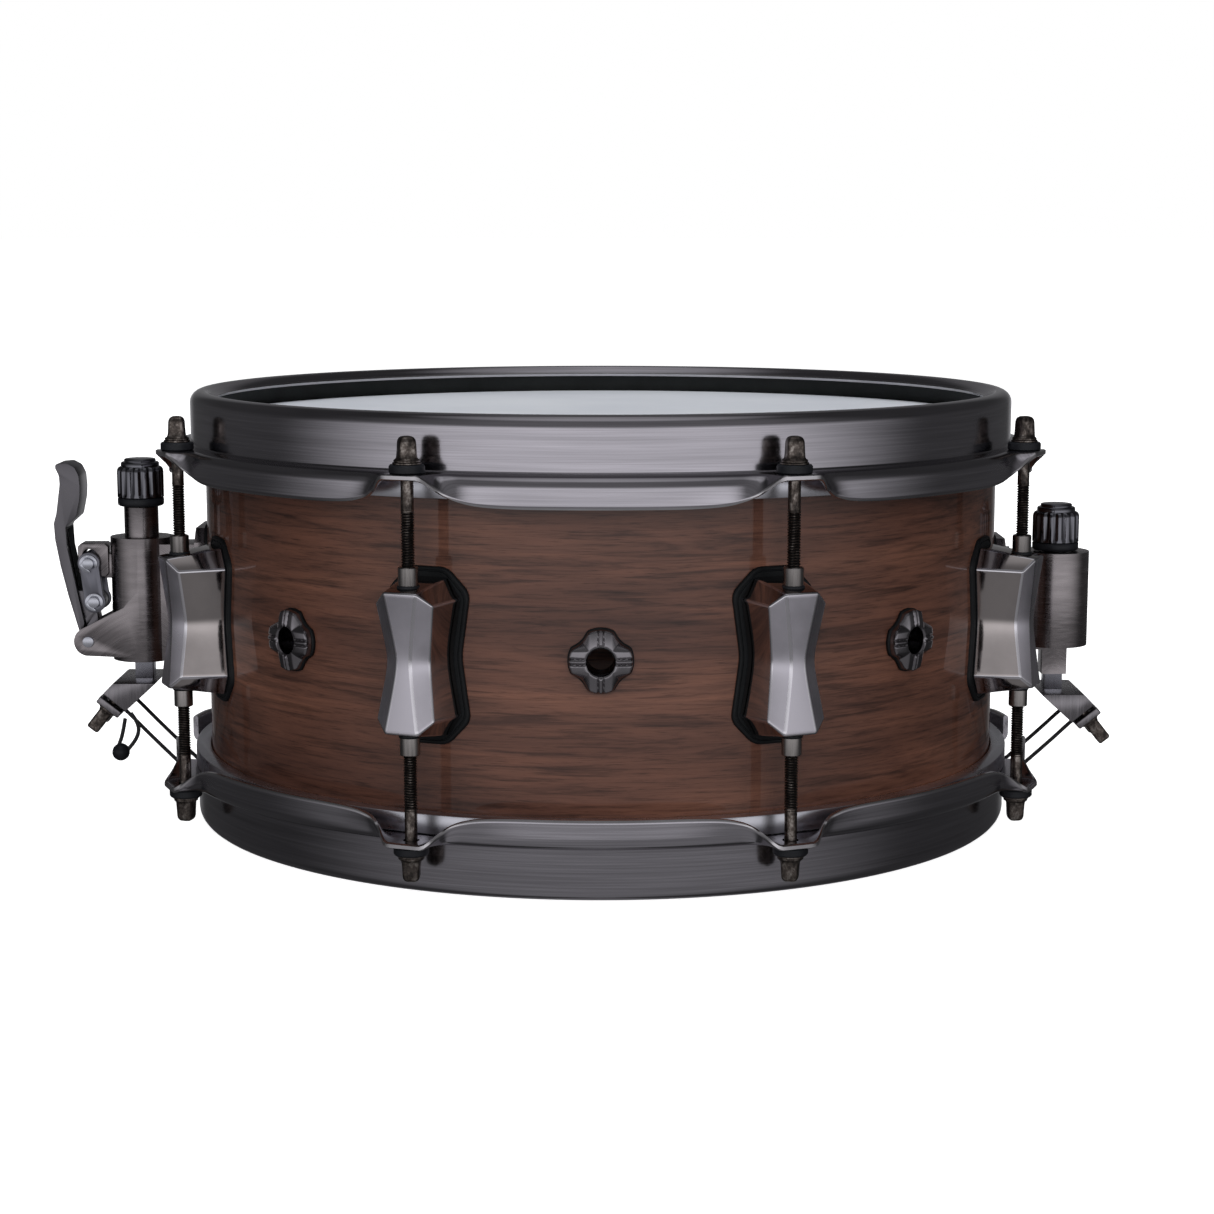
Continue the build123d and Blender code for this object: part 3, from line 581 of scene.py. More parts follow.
def make_lights():
    """Soft boxes overhead, in front and behind, and two strips; no metal reflects them."""
    overhead = area_light("overhead", (0.0, -0.2, 2.2), (0, 0, 0.1), (2.4, 1.8), 26.0)
    left = area_light("left_strip", (-2.0, -1.5, 0.9), (0, 0, 0.1), (0.5, 1.8), 3.0)
    right = area_light("right_strip", (2.0, -1.5, 0.9), (0, 0, 0.1), (0.5, 1.8), 3.0)
    front = area_light("front", (0.0, -2.4, 1.1), (0, 0, 0.1), (2.2, 1.2), 20.0)
    behind = area_light("behind", (0.0, 2.4, 1.1), (0, 0, 0.1), (2.2, 1.2), 16.0)
    for light in (overhead, left, right, front, behind):
        light.visible_glossy = False


# ---- cords --------------------------------------------------------------------------
TAIL_ROUTE = [
    (-213.0, -17.5, 44.6), (-209.6, -17.5, 40.0), (-209.7, -17.5, 34.4),
    (-213.4, -17.5, 29.0), (-217.2, -17.5, 25.4), (-219.6, -17.5, 26.6),
    (-218.9, -17.5, 29.6), (-216.9, -17.5, 34.6), (-215.6, -17.5, 42.0),
]


def make_tail():
    """The loose loop of the cord's end, with the bead that stops it."""
    data = bpy.data.curves.new("tail_loop", "CURVE")
    data.dimensions = "3D"
    spline = data.splines.new("NURBS")
    spline.points.add(len(TAIL_ROUTE) - 1)
    for point, place in zip(spline.points, TAIL_ROUTE):
        point.co = (*(c * MM for c in place), 1.0)
    spline.order_u = 3
    spline.use_endpoint_u = True
    spline.resolution_u = 12
    data.bevel_depth = CORD_R * MM
    data.bevel_resolution = 4
    data.materials.append(MAT["cord"])
    tail = placed("tail_loop", data)
    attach(tail, "strainer_post")
    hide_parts("tail_cord")
    bead_profile = [(0.9, -3.9), (1.8, -3.6), (2.9, -2.8), (3.7, -1.4), (4.0, 0.0),
                    (3.7, 1.4), (2.9, 2.8), (1.8, 3.6), (0.9, 3.9)]
    group = lathe(bead_profile, 32)
    tilt = Matrix.Rotation(radians(35), 3, "Y")
    centre = Vector((-217.9, -17.5, 26.6))
    group = mapped(group, lambda x, y, z: tuple(tilt @ Vector((x, y, z)) + centre))
    bead = piece("tail_bead_round", *group, "nylon", "strainer_post")
    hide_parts("tail_bead")


# ---- hoops --------------------------------------------------------------------------
LEDGE_Z = 167.6
SKIRT_Z = 156.5
EAR_R = 201.5
FLANGE_STEPS = 22


def rounded_path(corners, radii, steps=6):
    """Points of a path in the (radius, z) plane with its inner corners rounded."""
    points = [Vector(corners[0])]
    for i, radius in enumerate(radii):
        before, corner, after = (Vector(c) for c in corners[i:i + 3])
        into, out = (before - corner).normalized(), (after - corner).normalized()
        half = into.angle(out) / 2
        reach = radius / abs(sin(half) / cos(half))
        centre = corner + (into + out).normalized() * radius / sin(half)
        start, end = corner + into * reach - centre, corner + out * reach - centre
        turn = start.angle_signed(end)
        for k in range(steps + 1):
            a = turn * k / steps      # positive is clockwise
            point = Vector((start.x * cos(a) + start.y * sin(a), start.y * cos(a) - start.x * sin(a)))
            points.append(centre + point)
    points.append(Vector(corners[-1]))
    return points


def resampled(points, count):
    """Points at even steps along a path."""
    lengths = [0.0]
    for a, b in zip(points, points[1:]):
        lengths.append(lengths[-1] + (b - a).length)
    result, i = [], 0
    for k in range(count):
        target = lengths[-1] * k / (count - 1)
        while i < len(points) - 2 and lengths[i + 1] < target:
            i += 1
        span = lengths[i + 1] - lengths[i]
        t = (target - lengths[i]) / span if span else 0.0
        result.append(points[i].lerp(points[i + 1], t))
    return result


def ear_weight(u):
    """How far the flange has risen from skirt to flat ear, at u beside a rod."""
    u = abs(u)
    if u < 6.4:
        return 1.0
    fall = 1.0 / (1.0 + ((u - 6.4) / 7.6) ** 2.2)
    fade = max(0.0, min(1.0, (46.0 - u) / 24.0))
    return fall * fade


def hoop_points(segments):
    """Vertices of a closed pressed-sheet hoop, and how many points each section has."""
    skirt = rounded_path([(191.85, SKIRT_Z), (191.85, 167.0), (184.2, LEDGE_Z)], [3.4])
    skirt = resampled(skirt, FLANGE_STEPS)
    ear = resampled([Vector((EAR_R, LEDGE_Z)), Vector((184.2, LEDGE_Z))], FLANGE_STEPS)
    wall = rounded_path([(184.2, LEDGE_Z), (182.05, LEDGE_Z), (182.05, 189.85), (176.6, 189.85),
                         (172.9, 187.0)], [1.7, 3.9, 1.5])[1:]
    vertices = []
    for j in range(segments):
        degrees_around = 360.0 * j / segments
        off = (degrees_around - 22.5 + 22.5) % 45.0 - 22.5
        weight = ear_weight(radians(off) * 193.0)
        narrow = max(0.0, abs(radians(off) * 193.0) - 5.0)
        lip = min(1.0, narrow / 14.0) ** 2 * 5.0
        flange = []
        for i in range(FLANGE_STEPS):
            point = skirt[i].lerp(ear[i] - Vector((lip * (1 - i / FLANGE_STEPS), 0)), weight)
            flange.append(point)
        line = flange + wall
        left, right = [], []
        for i, point in enumerate(line):
            ahead = (line[min(i + 1, len(line) - 1)] - line[max(i - 1, 0)]).normalized()
            side = Vector((-ahead.y, ahead.x)) * SHEET / 2
            left.append(point + side)
            right.append(point - side)
        ahead = (line[-1] - line[-2]).normalized() * SHEET * 0.32
        back = (line[0] - line[1]).normalized() * SHEET * 0.32
        side = Vector((-ahead.y, ahead.x)).normalized() * SHEET * 0.3
        back_side = Vector((back.y, -back.x)).normalized() * SHEET * 0.3
        loop = left + [line[-1] + ahead + side, line[-1] + ahead - side]
        loop += right[::-1] + [line[0] + back - back_side, line[0] + back + back_side]
        for point in loop:
            vertices.append(turned_point(0.0, point.x, point.y, degrees_around))
    return vertices, len(loop), len(line)


def cut(made, cutter_groups):
    """Subtract closed groups of faces from a piece."""
    vertices, faces = joined(cutter_groups)
    mesh = bpy.data.meshes.new("cutter")
    mesh.from_pydata([Vector(v) * MM for v in vertices], [], faces)
    cutter = placed("cutter", mesh)
    outward(cutter)
    modifier = made.modifiers.new("cut", "BOOLEAN")
    modifier.operation = "DIFFERENCE"
    modifier.solver = "EXACT"
    modifier.object = cutter
    apply_modifiers(made)
    bpy.data.objects.remove(cutter)
    return made


def rounded_gate(side):
    """The opening for the snare cords in the lower hoop, with rounded corners."""
    outline = []
    for y, z, start in ((20.0, 12.0, -90), (20.0, 42.0, 0), (-20.0, 42.0, 90), (-20.0, 12.0, 180)):
        for k in range(5):
            a = radians(start + 22.5 * k)
            outline.append((y + 4.0 * cos(a), z + 4.0 * sin(a)))
    vertices = [(side * x, y, z) for x in (165.0, 206.0) for y, z in outline]
    count = len(outline)
    faces = grid_faces(2, count)
    faces += [tuple(range(count)), tuple(range(count, 2 * count))]
    return vertices, faces


def make_hoop(node, name, flip):
    """A pressed hoop: inward lip, wall, ledge and skirt, which rises to an ear at each rod."""
    segments = 720
    vertices, columns, line = hoop_points(segments)
    faces = grid_faces(segments, columns, wrap_rows=True)
    if flip:
        vertices = [(x, y, HEIGHT - z) for x, y, z in vertices]
    made = piece(name, vertices, faces, ["hoop", "painted_shade", "hoop_edge_painted_highlight"])
    # Columns of the batter hoop's inner wall and lip get the black material: painted shade.
    inside = range(FLANGE_STEPS + 6, line - 9)
    for i, polygon in enumerate(made.data.polygons):
        column = i % columns
        if not flip and column in inside:
            polygon.material_index = 1
        # The sheet's cut edges get the lighter edge material: a painted highlight.
        if column >= columns - 3 or line - 1 <= column < line + 2:
            polygon.material_index = 2
    outward(made)
    holes = []
    for angle in LUG_ANGLES:
        low, high = (150.0, 175.0) if not flip else (16.0, 41.0)
        x, y, _ = turned_point(0, ROD_R, 0, angle)
        holes.append(lathe([(3.3, low), (3.3, high)], 32, x, y))
    if flip:
        holes += [rounded_gate(side) for side in (-1, 1)]
    cut(made, holes)
    sharpened(made, 42)
    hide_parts(node)


# ---- shell and heads ----------------------------------------------------------------
def ring_faces(profile, segments=360):
    """A closed section turned about the drum's axis."""
    vertices = []
    for j in range(segments):
        a = 2 * pi * j / segments
        vertices += [(r * cos(a), r * sin(a), z) for r, z in profile]
    return vertices, grid_faces(segments, len(profile), wrap_rows=True)


def make_shell():
    """The lacquered shell with its bearing edges and vent holes."""
    low, high, inner = 12.95, 178.05, 171.0
    side = [low + 1.0 + (high - low - 2.0) * i / 10 for i in range(11)]
    profile = [(SHELL_R, z) for z in side]
    profile += [(SHELL_R - 0.3, high - 0.3), (SHELL_R - 1.0, high), (inner + 4.0, high)]
    profile += [(inner, high - 4.0), (inner, low + 4.0), (inner + 4.0, low)]
    profile += [(SHELL_R - 1.0, low), (SHELL_R - 0.3, low + 0.3)]
    made = outward(piece("shell_walnut", *ring_faces(profile), "walnut"))
    holes = []
    for angle in VENT_ANGLES:
        ring = []
        for v in (160.0, 190.0):
            for k in range(40):
                a = 2 * pi * k / 40
                ring.append(turned_point(6.2 * cos(a), v, MID_Z + 6.2 * sin(a), angle))
        faces = grid_faces(2, 40) + [tuple(range(40)), tuple(range(40, 80))]
        holes.append((ring, faces))
    cut(made, holes)
    sharpened(made, 25)
    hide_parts("shell")


def make_head(node, name, material, flip):
    """A film that lies on the bearing edge and rolls down over it into its flesh hoop."""
    top = 178.35
    profile = [(175.0 * i / 24, top) for i in range(25)]
    profile += [(176.2, top - 0.08), (177.0, top - 0.45), (177.4, top - 1.2), (177.5, top - 3.0)]
    profile += [(177.5, 168.0), (177.5, 160.2)]
    under = [(r - 0.25 if z < top - 1 else r, z if z < top - 1 else z - 0.25) for r, z in profile]
    loop = profile + under[::-1]
    if flip:
        loop = [(r, HEIGHT - z) for r, z in loop]
    vertices, faces = ring_faces(loop, 288)
    made = outward(piece(name, vertices, faces, material), weld=True)
    made.data.set_sharp_from_angle(angle=radians(50))
    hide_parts(node)


# ---- tension rods -------------------------------------------------------------------
THREAD_PITCH = 1.058


def thread_group(low, high, outer, segments=28, steps=6):
    """A helical thread: rows of points whose radius follows the turn of the helix."""
    rows = int((high - low) / THREAD_PITCH * steps)
    vertices = []
    for i in range(rows + 1):
        z = low + (high - low) * i / rows
        for j in range(segments):
            phase = ((z - low) / THREAD_PITCH - j / segments) % 1.0
            depth = abs(2 * phase - 1)
            cut_in = 0.62 * max(0.0, min(1.0, 1.25 * depth - 0.12))
            a = 2 * pi * j / segments
            vertices.append(((outer - cut_in) * cos(a), (outer - cut_in) * sin(a), z))
    return vertices, capped_faces(rows + 1, segments)


def squared(radius, a, sharpness=5.0):
    """The radius of a rounded square at an angle."""
    return radius / (abs(cos(a)) ** sharpness + abs(sin(a)) ** sharpness) ** (1 / sharpness)


def rod_head_group(turn=0.0):
    """The drum-key head: a square that flares to a round foot, and a domed top."""
    rows = [
        (2.3, 172.5, 0.0), (4.7, 173.05, 0.0), (5.1, 173.2, 0.0), (5.15, 173.75, 0.0),
        (4.85, 174.05, 0.05), (4.35, 174.35, 0.25), (4.0, 174.9, 0.5), (3.75, 175.7, 0.8),
        (3.6, 176.7, 0.95), (3.5, 178.0, 1.0), (3.44, 179.5, 1.0), (3.36, 180.8, 1.0),
        (3.15, 181.7, 1.0), (2.7, 182.4, 1.0), (2.05, 182.85, 1.0), (1.2, 183.08, 1.0),
        (0.5, 183.12, 0.8),
    ]
    vertices = []
    segments = 40
    for radius, z, square in rows:
        for j in range(segments):
            a = 2 * pi * j / segments
            r = radius * (1 - square) + squared(radius, a + turn) * square
            vertices.append((r * cos(a), r * sin(a), z))
    return vertices, capped_faces(len(rows), segments)


def paint_shade_in_grooves(made, low, high, segments, steps):
    """Paint shade into the bottom of a thread, which comes first in the mesh, by giving its faces the
    near-black groove material.
    """
    rows = int((high - low) / THREAD_PITCH * steps)
    for i in range(rows):
        z = low + (high - low) * (i + 0.5) / rows
        for j in range(segments):
            phase = ((z - low) / THREAD_PITCH - (j + 0.5) / segments) % 1.0
            if abs(2 * phase - 1) > 0.5:
                made.data.polygons[i * segments + j].material_index = 1


def make_rods():
    """Sixteen tension rods, each on its own body, and their washers and swivel nuts."""
    shank = lathe([(2.45, 153.8), (2.5, 154.6), (2.5, 172.9)], 28)
    for i, angle in enumerate(LUG_ANGLES):
        for word, flip in (("upper", False), ("lower", True)):
            head = rod_head_group(radians(13 + 31 * i + (20 if flip else 0)))
            rod = joined([thread_group(112.0, 154.6, 2.75), shank, head])
            made = piece(f"{word}_rod_{i + 1}_turned", *to_angle(rod, angle, flip=flip),
                         ["rod", "groove"], f"{word}_rod_{i + 1}", sharp=60)
            paint_shade_in_grooves(made, 112.0, 154.6, 28, 6)
            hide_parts(f"{word}_rod_{i + 1}")

    steel = lathe_ring([(2.9, 172.25), (5.3, 172.25), (5.6, 172.4), (5.6, 172.85), (5.3, 173.0),
                        (2.9, 173.0)], 40)
    nylon = lathe_ring([(2.95, 168.8), (6.6, 168.8), (7.0, 169.2), (7.0, 171.5), (6.5, 172.15),
                        (2.95, 172.15)], 40)
    inner, outer = MID_Z + 13.0, MID_Z + 37.0
    nut = lathe_ring([(2.8, inner), (3.9, inner), (4.0, inner + 0.2), (4.0, outer - 0.35),
                      (3.65, outer), (3.2, outer), (2.8, outer - 0.5)], 40)
    # A dark ring where each swivel nut leaves its lug: painted shade in the gap between nut and lug.
    gap_shade_ring = lathe_ring([(4.0, MID_Z + 28.4), (4.4, MID_Z + 28.0), (4.5, MID_Z + 29.3),
                       (4.3, MID_Z + 29.9), (4.0, MID_Z + 29.9)], 40)
    for node, name, group, material, slot in (
            ("rod_washers", "rod_washers_turned", steel, "rod", "rod_bronze"),
            ("nylon_washers", "nylon_washers_turned", nylon, "nylon", "black_nylon"),
            ("swivel_nuts", "swivel_nuts_turned", nut, "nut", "brushed_steel")):
        groups = [to_angle(group, a, flip=flip) for a in LUG_ANGLES for flip in (False, True)]
        made = piece(name, *joined(groups), material, sharp=35)
        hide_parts(node)
    groups = [to_angle(gap_shade_ring, a, flip=flip) for a in LUG_ANGLES for flip in (False, True)]
    made = piece("nut_gap_shade_rings", *joined(groups), "nylon")


# ---- lugs ---------------------------------------------------------------------------
def lug_group():
    """One lug at the front, as rows of six corners between its two ends."""
    rows = 28
    vertices = []

    def bow(t, waist, end, soft):
        reach = (sqrt(t * t + soft * soft) - soft) / (sqrt(1 + soft * soft) - soft)
        return waist + (end - waist) * reach

    for i in range(rows + 1):
        t = -1 + 2 * i / rows
        corners = [
            (bow(t, 11.6, 14.8, 0.2), None, 23.2 * t),
            (bow(t, 9.5, 12.4, 0.16), bow(t, 194.9, 198.2, 0.14), 22.8 * t),
            (bow(t, 3.1, 7.0, 0.16), bow(t, 199.6, 202.4, 0.14), 27.8 * t),
        ]
        row = []
        for u, v, z in corners:
            row.append((u, v if v else sqrt(178.5 ** 2 - u * u), MID_Z + z))
        row += [(-u, v, z) for u, v, z in reversed(row)]
        vertices += row
    faces, kinds = [], []
    for i in range(rows):
        for j in range(6):
            a, b = i * 6 + j, i * 6 + (j + 1) % 6
            faces.append((a, b, b + 6, a + 6))
            kinds.append((1, 0, 0, 0, 1, 1)[j])
    for end in (0, rows):
        start = end * 6
        sign = -1 if end == 0 else 1
        feet = len(vertices)
        for u in (9.2, -9.2):
            vertices.append((u, sqrt(178.5 ** 2 - u * u), MID_Z + sign * 31.6))
        faces += [(start, start + 1, start + 2, feet), (start + 2, start + 3, feet + 1, feet),
                  (start + 3, start + 4, start + 5, feet + 1), (start, feet, feet + 1, start + 5)]
        kinds += [1, 1, 1, 1]
    return vertices, faces, kinds


def make_lugs():
    """Eight hourglass lugs with satin fronts, polished ends and bright rounded edges."""
    vertices, faces, kinds = lug_group()
    groups = []
    for angle in LUG_ANGLES:
        turned = [turned_point(u, v, z, angle) for u, v, z in vertices]
        groups.append((turned, faces))
    made = piece("lugs_cast", *joined(groups), ["lug", "lug_end", "lug_edge"])
    for i, polygon in enumerate(made.data.polygons):
        polygon.material_index = kinds[i % len(kinds)]
    outward(made)
    bevelled(made, 0.75, 3, 14, material=2)
    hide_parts("lugs")


def smooth_outline(control, radius=3.0, steps=5):
    """A closed outline from a quarter's corners, mirrored both ways and rounded."""
    right = list(reversed(control)) + [(x, -z) for x, z in control if z]
    corners = right + [(-x, z) for x, z in reversed(right)]
    points = [Vector(p) for p in corners]
    result = []
    for i, corner in enumerate(points):
        before, after = points[i - 1], points[(i + 1) % len(points)]
        into, out = before - corner, after - corner
        reach = min(radius, into.length * 0.45, out.length * 0.45)
        start, end = corner + into.normalized() * reach, corner + out.normalized() * reach
        for k in range(steps + 1):
            t = k / steps
            result.append((1 - t) ** 2 * start + 2 * t * (1 - t) * corner + t * t * end)
    dense = []
    for i, point in enumerate(result):
        after = result[(i + 1) % len(result)]
        count = max(1, int((after - point).length / 2.5))
        dense += [point.lerp(after, k / count) for k in range(count)]
    return dense


def pad_group(outline, size, levels, angle):
    """A pad that follows the shell: rings of its outline, drawn in at each level."""
    width, height = size
    vertices = []
    for inset, rise in levels:
        for point in outline:
            u = point.x * (1 - inset / width)
            z = point.y * (1 - inset / height)
            v = sqrt((SHELL_R + rise) ** 2 - u * u)
            vertices.append(turned_point(u, v, MID_Z + z, angle))
    return vertices, capped_faces(len(levels), len(outline))


PAD_LEVELS = [(0.0, 0.0), (0.0, 0.9), (0.25, 1.35), (0.7, 1.55), (1.3, 1.45), (1.5, 1.05),
              (1.8, 1.05), (2.0, 1.4), (4.0, 1.5)]


def make_gaskets():
    """Rubber pads under the lugs, the strainer and the butt plate."""
    lug = smooth_outline([(14.3, 0.0), (17.9, 25.4), (8.4, 35.4)], 3.4)
    groups = [pad_group(lug, (17.0, 35.0), PAD_LEVELS, angle) for angle in LUG_ANGLES]
    for angle, half, tall in ((270.0, 21.4, 34.4), (90.0, 20.4, 29.4)):
        side = smooth_outline([(half, tall - 7.0), (half - 7.0, tall)], 3.0)
        groups.append(pad_group(side, (half, tall), PAD_LEVELS, angle))
    made = piece("gaskets_moulded", *joined(groups), "rubber", sharp=50)
    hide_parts("gaskets")


# ---- vents --------------------------------------------------------------------------
def vent_radius(a):
    """The vent's outline: four broad blunt lobes with shallow hollows between them."""
    off = abs(degrees((a + pi / 4) % (pi / 2) - pi / 4))
    if off < 24.0:
        return 12.5 - 0.15 * (off / 24.0) ** 2
    middle = 45.0 - off
    return 11.58 / cos(radians(middle)) - 1.0 * (1 - (middle / 21.0) ** 2)


def vent_height(r, a):
    """The vent's surface above the shell: flat lobes with a rib, and scooped hollows."""
    lobe = (a + pi / 4) % (pi / 2) - pi / 4
    side = r * sin(abs(lobe))
    along = (r - 5.3) / 6.5
    height = 5.2 - 1.1 * max(0.0, along) ** 1.5
    scoop_edge = 4.2
    if side > scoop_edge:
        height -= min(2.3, 0.55 * (side - scoop_edge) ** 1.15 * (0.4 + max(0.0, along)))
    rib = abs(side)
    if rib < 1.9:
        groove = 0.55 * max(0.0, 1 - abs(rib - 1.15) / 0.42)
        crest = 0.35 * max(0.0, 1 - (rib / 0.75) ** 2)
        height += crest - groove
    return height


def make_vents():
    """Star-shaped vents with ribs from the hole to each tip, and their rubber stars."""
    segments = 192
    foot = 1.3                # underside of a star, above the shell
    groups, pads, nuts = [], [], []
    for angle in VENT_ANGLES:
        rows = []
        hole = [(5.35, -10.0), (5.3, 2.0), (5.35, 3.9), (5.55, 4.6), (5.95, 5.05)]
        for r, rise in hole:
            rows.append([(r, rise)] * segments)
        for k in range(9):
            t = (k + 1) / 9
            row = []
            for j in range(segments):
                a = 2 * pi * j / segments
                edge = vent_radius(a) - 0.3
                r = 5.95 + (edge - 5.95) * t
                row.append((r, vent_height(r, a)))
            rows.append(row)
        for at_top in (True, False):
            row = []
            for j in range(segments):
                a = 2 * pi * j / segments
                edge = vent_radius(a)
                row.append((edge, max(foot, vent_height(edge, a) - 0.45) if at_top else foot))
            rows.append(row)
        rows.append([(6.1, foot)] * segments)
        rows.append([(6.1, -10.0)] * segments)
        vertices = []
        for row in rows:
            for j, (r, rise) in enumerate(row):
                a = 2 * pi * j / segments
                vertices.append(turned_point(r * cos(a), SHELL_R + rise, MID_Z + r * sin(a), angle))
        groups.append((vertices, grid_faces(len(rows), segments, wrap_rows=True)))
        pad = []
        levels = ((0.55, 0.0), (0.55, 0.9), (0.2, 1.4))
        for grow, rise in levels:
            for j in range(96):
                a = 2 * pi * j / 96
                r = vent_radius(a) + grow
                u = r * cos(a)
                v = sqrt((SHELL_R + rise) ** 2 - u * u)
                pad.append(turned_point(u, v, MID_Z + r * sin(a), angle))
        for rise in (1.4, 0.0):
            for j in range(96):
                a = 2 * pi * j / 96
                pad.append(turned_point(6.2 * cos(a), SHELL_R + rise, MID_Z + 6.2 * sin(a), angle))
        faces = grid_faces(len(levels) + 2, 96, wrap_rows=True)
        pads.append((pad, faces))
        nut = []
        for r, v in ((6.15, 170.6), (9.0, 170.6), (9.0, 167.4), (8.6, 167.0), (6.15, 167.0)):
            for j in range(48):
                a = 2 * pi * j / 48
                notch = 0.6 if r > 8 and j % 6 == 0 else 0.0
                nut.append(turned_point((r - notch) * cos(a), v, MID_Z + (r - notch) * sin(a), angle))
        nuts.append((nut, grid_faces(5, 48, wrap_rows=True)))
    made = outward(piece("vents_polished", *joined(groups), "vent"))
    made.data.set_sharp_from_angle(angle=radians(50))
    inner = outward(piece("vent_ring_nuts", *joined(nuts), "zinc"))
    inner.data.set_sharp_from_angle(angle=radians(40))
    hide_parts("vents")
    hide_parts("vents")
    rubber = outward(piece("vent_rubber_stars", *joined(pads), "rubber"))
    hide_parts("vent_gaskets")


# ---- knobs --------------------------------------------------------------------------
def make_knob(word, x, low, top, body):
    """A ribbed knob with a raised disc, its screw below, and the nylon ring under it."""
    ribs = 16
    shoulder = top - 4.2
    profile = [
        (4.8, low, 0), (10.0, low, 0), (10.5, low + 0.4, 0), (10.5, low + 1.2, 0.3),
        (10.5, low + 2.2, 1), (10.5, shoulder - 1.6, 1), (10.3, shoulder - 0.6, 1),
        (9.7, shoulder + 0.2, 0.7), (8.9, shoulder + 0.6, 0.2), (8.6, shoulder + 0.7, 0),
        (8.6, top - 2.3, 0), (8.35, top - 1.7, 0), (7.9, top - 1.5, 0), (7.3, top - 1.5, 0),
        (7.1, top - 1.4, 0), (7.05, top - 0.5, 0), (6.8, top - 0.15, 0), (6.2, top, 0),
        (3.0, top + 0.05, 0), (0.5, top + 0.05, 0),
    ]
    segments = ribs * 12
    vertices = []
    for radius, z, depth in profile:
        for j in range(segments):
            a = 2 * pi * j / segments
            place = (j % 12) / 12
            wave = max(0.0, 1 - abs(place - 0.5) / 0.3) ** 0.6 if abs(place - 0.5) < 0.3 else 0.0
            r = radius - 0.95 * depth * wave
            vertices.append((x + r * cos(a), r * sin(a), z))
    faces = capped_faces(len(profile), segments)
    screw_low = {"strainer": 72.0, "butt": 66.0}[word]
    screw_high = {"strainer": 130.0, "butt": 110.0}[word]
    screw = thread_group(screw_low, screw_high, 2.5, 20, 4)
    screw = mapped(screw, lambda px, py, pz: (px + x, py, pz))
    neck = lathe([(2.3, screw_high - 0.6), (4.9, screw_high), (5.0, low + 0.2)], 36, x)
    made = piece(f"{word}_knob_ribbed", *joined([(vertices, faces), screw, neck]), "knob", body)
    made.data.set_sharp_from_angle(angle=radians(48))
    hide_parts(f"{word}_knob")
    ring_low = {"strainer": 137.3, "butt": 117.0}[word]
    section = [(5.1, ring_low), (9.6, ring_low), (10.25, ring_low + 0.5), (10.4, ring_low + 1.2),
               (10.4, low - 0.5), (10.1, low - 0.05), (5.1, low - 0.05)]
    group = lathe_ring(section, 64, x)
    ring = piece(f"{word}_knob_ring_moulded", *group, "nylon", body)
    ring.data.set_sharp_from_angle(angle=radians(50))
    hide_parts(f"{word}_knob_ring")


# ---- strainer and butt plate --------------------------------------------------------
SOFTENED = [
    ("strainer_housing", "strainer", 0.7, 3), ("butt_housing", "butt", 0.9, 3),
    ("strainer_sleeve", "strainer", 0.3, 2), ("strainer_clevis", "strainer", 0.6, 3),
    ("strainer_links", "link", 0.25, 2),
    ("strainer_link_pins", "zinc", 0.2, 2), ("strainer_lever_pin", "zinc", 0.35, 2),
    ("strainer_post", "zinc", 0.35, 2), ("butt_post", "zinc", 0.35, 2),
    ("strainer_clamp_block", "clamp", 0.35, 2), ("strainer_clamp_plate", "clamp", 0.35, 2),
    ("butt_clamp_block", "clamp", 0.35, 2), ("butt_clamp_plate", "clamp", 0.35, 2),
    ("strainer_clamp_screw_front", "rod", 0.3, 2), ("strainer_clamp_screw_back", "rod", 0.3, 2),
    ("butt_clamp_screw_front", "rod", 0.3, 2), ("butt_clamp_screw_back", "rod", 0.3, 2),
    ("snare_end_plates", "zinc", 0.15, 2), ("shell_screws", "zinc", 0.2, 2),
    ("batter_flesh_hoop", "aluminium", 0.4, 2), ("snare_flesh_hoop", "aluminium", 0.4, 2),
]


def make_wires():
    """Twenty coiled snare wires under the lower head."""
    pitch, turns_steps, coil, thick = 3.0, 8, 0.98, 0.27
    height = 12.95 - 0.3 - 1.25 - 0.1
    groups = []
    for i in range(20):
        y = 2.1 * (i - 9.5)
        steps = int(304.0 / pitch * turns_steps)
        vertices = []
        for k in range(steps + 1):
            x = -152.0 + 304.0 * k / steps
            a = 2 * pi * k / turns_steps + i
            centre = Vector((x, y + coil * cos(a), height + coil * sin(a)))
            outward_way = Vector((0, cos(a), sin(a)))
            sideways = Vector((1, 0, 0))
            for j in range(3):
                b = 2 * pi * j / 3
                vertices.append(tuple(centre + thick * (outward_way * cos(b) + sideways * sin(b))))
        faces = grid_faces(steps + 1, 3)
        faces += [(2, 1, 0), (steps * 3, steps * 3 + 1, steps * 3 + 2)]
        groups.append((vertices, faces))
    made = outward(piece("snare_wires_coiled", *joined(groups), "zinc"))
    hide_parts("snare_wires")


def tube_along(points, radius, sides=10, steps=6):
    """A tube along a smooth line through control points, of quadratic spline pieces."""
    control = [Vector(p) for p in points]
    line = []
    for i in range(1, len(control) - 1):
        start = control[0] if i == 1 else (control[i - 1] + control[i]) / 2
        end = control[-1] if i == len(control) - 2 else (control[i] + control[i + 1]) / 2
        for k in range(steps + (i == len(control) - 2)):
            t = k / steps
            line.append((1 - t) ** 2 * start + 2 * t * (1 - t) * control[i] + t * t * end)
    vertices = []
    for i, point in enumerate(line):
        ahead = (line[min(i + 1, len(line) - 1)] - line[max(i - 1, 0)]).normalized()
        side = ahead.cross(Vector((0, 1, 0))).normalized()
        other = side.cross(ahead)
        for j in range(sides):
            a = 2 * pi * j / sides
            vertices.append(tuple(point + radius * (side * cos(a) + other * sin(a))))
    return vertices, capped_faces(len(line), sides)


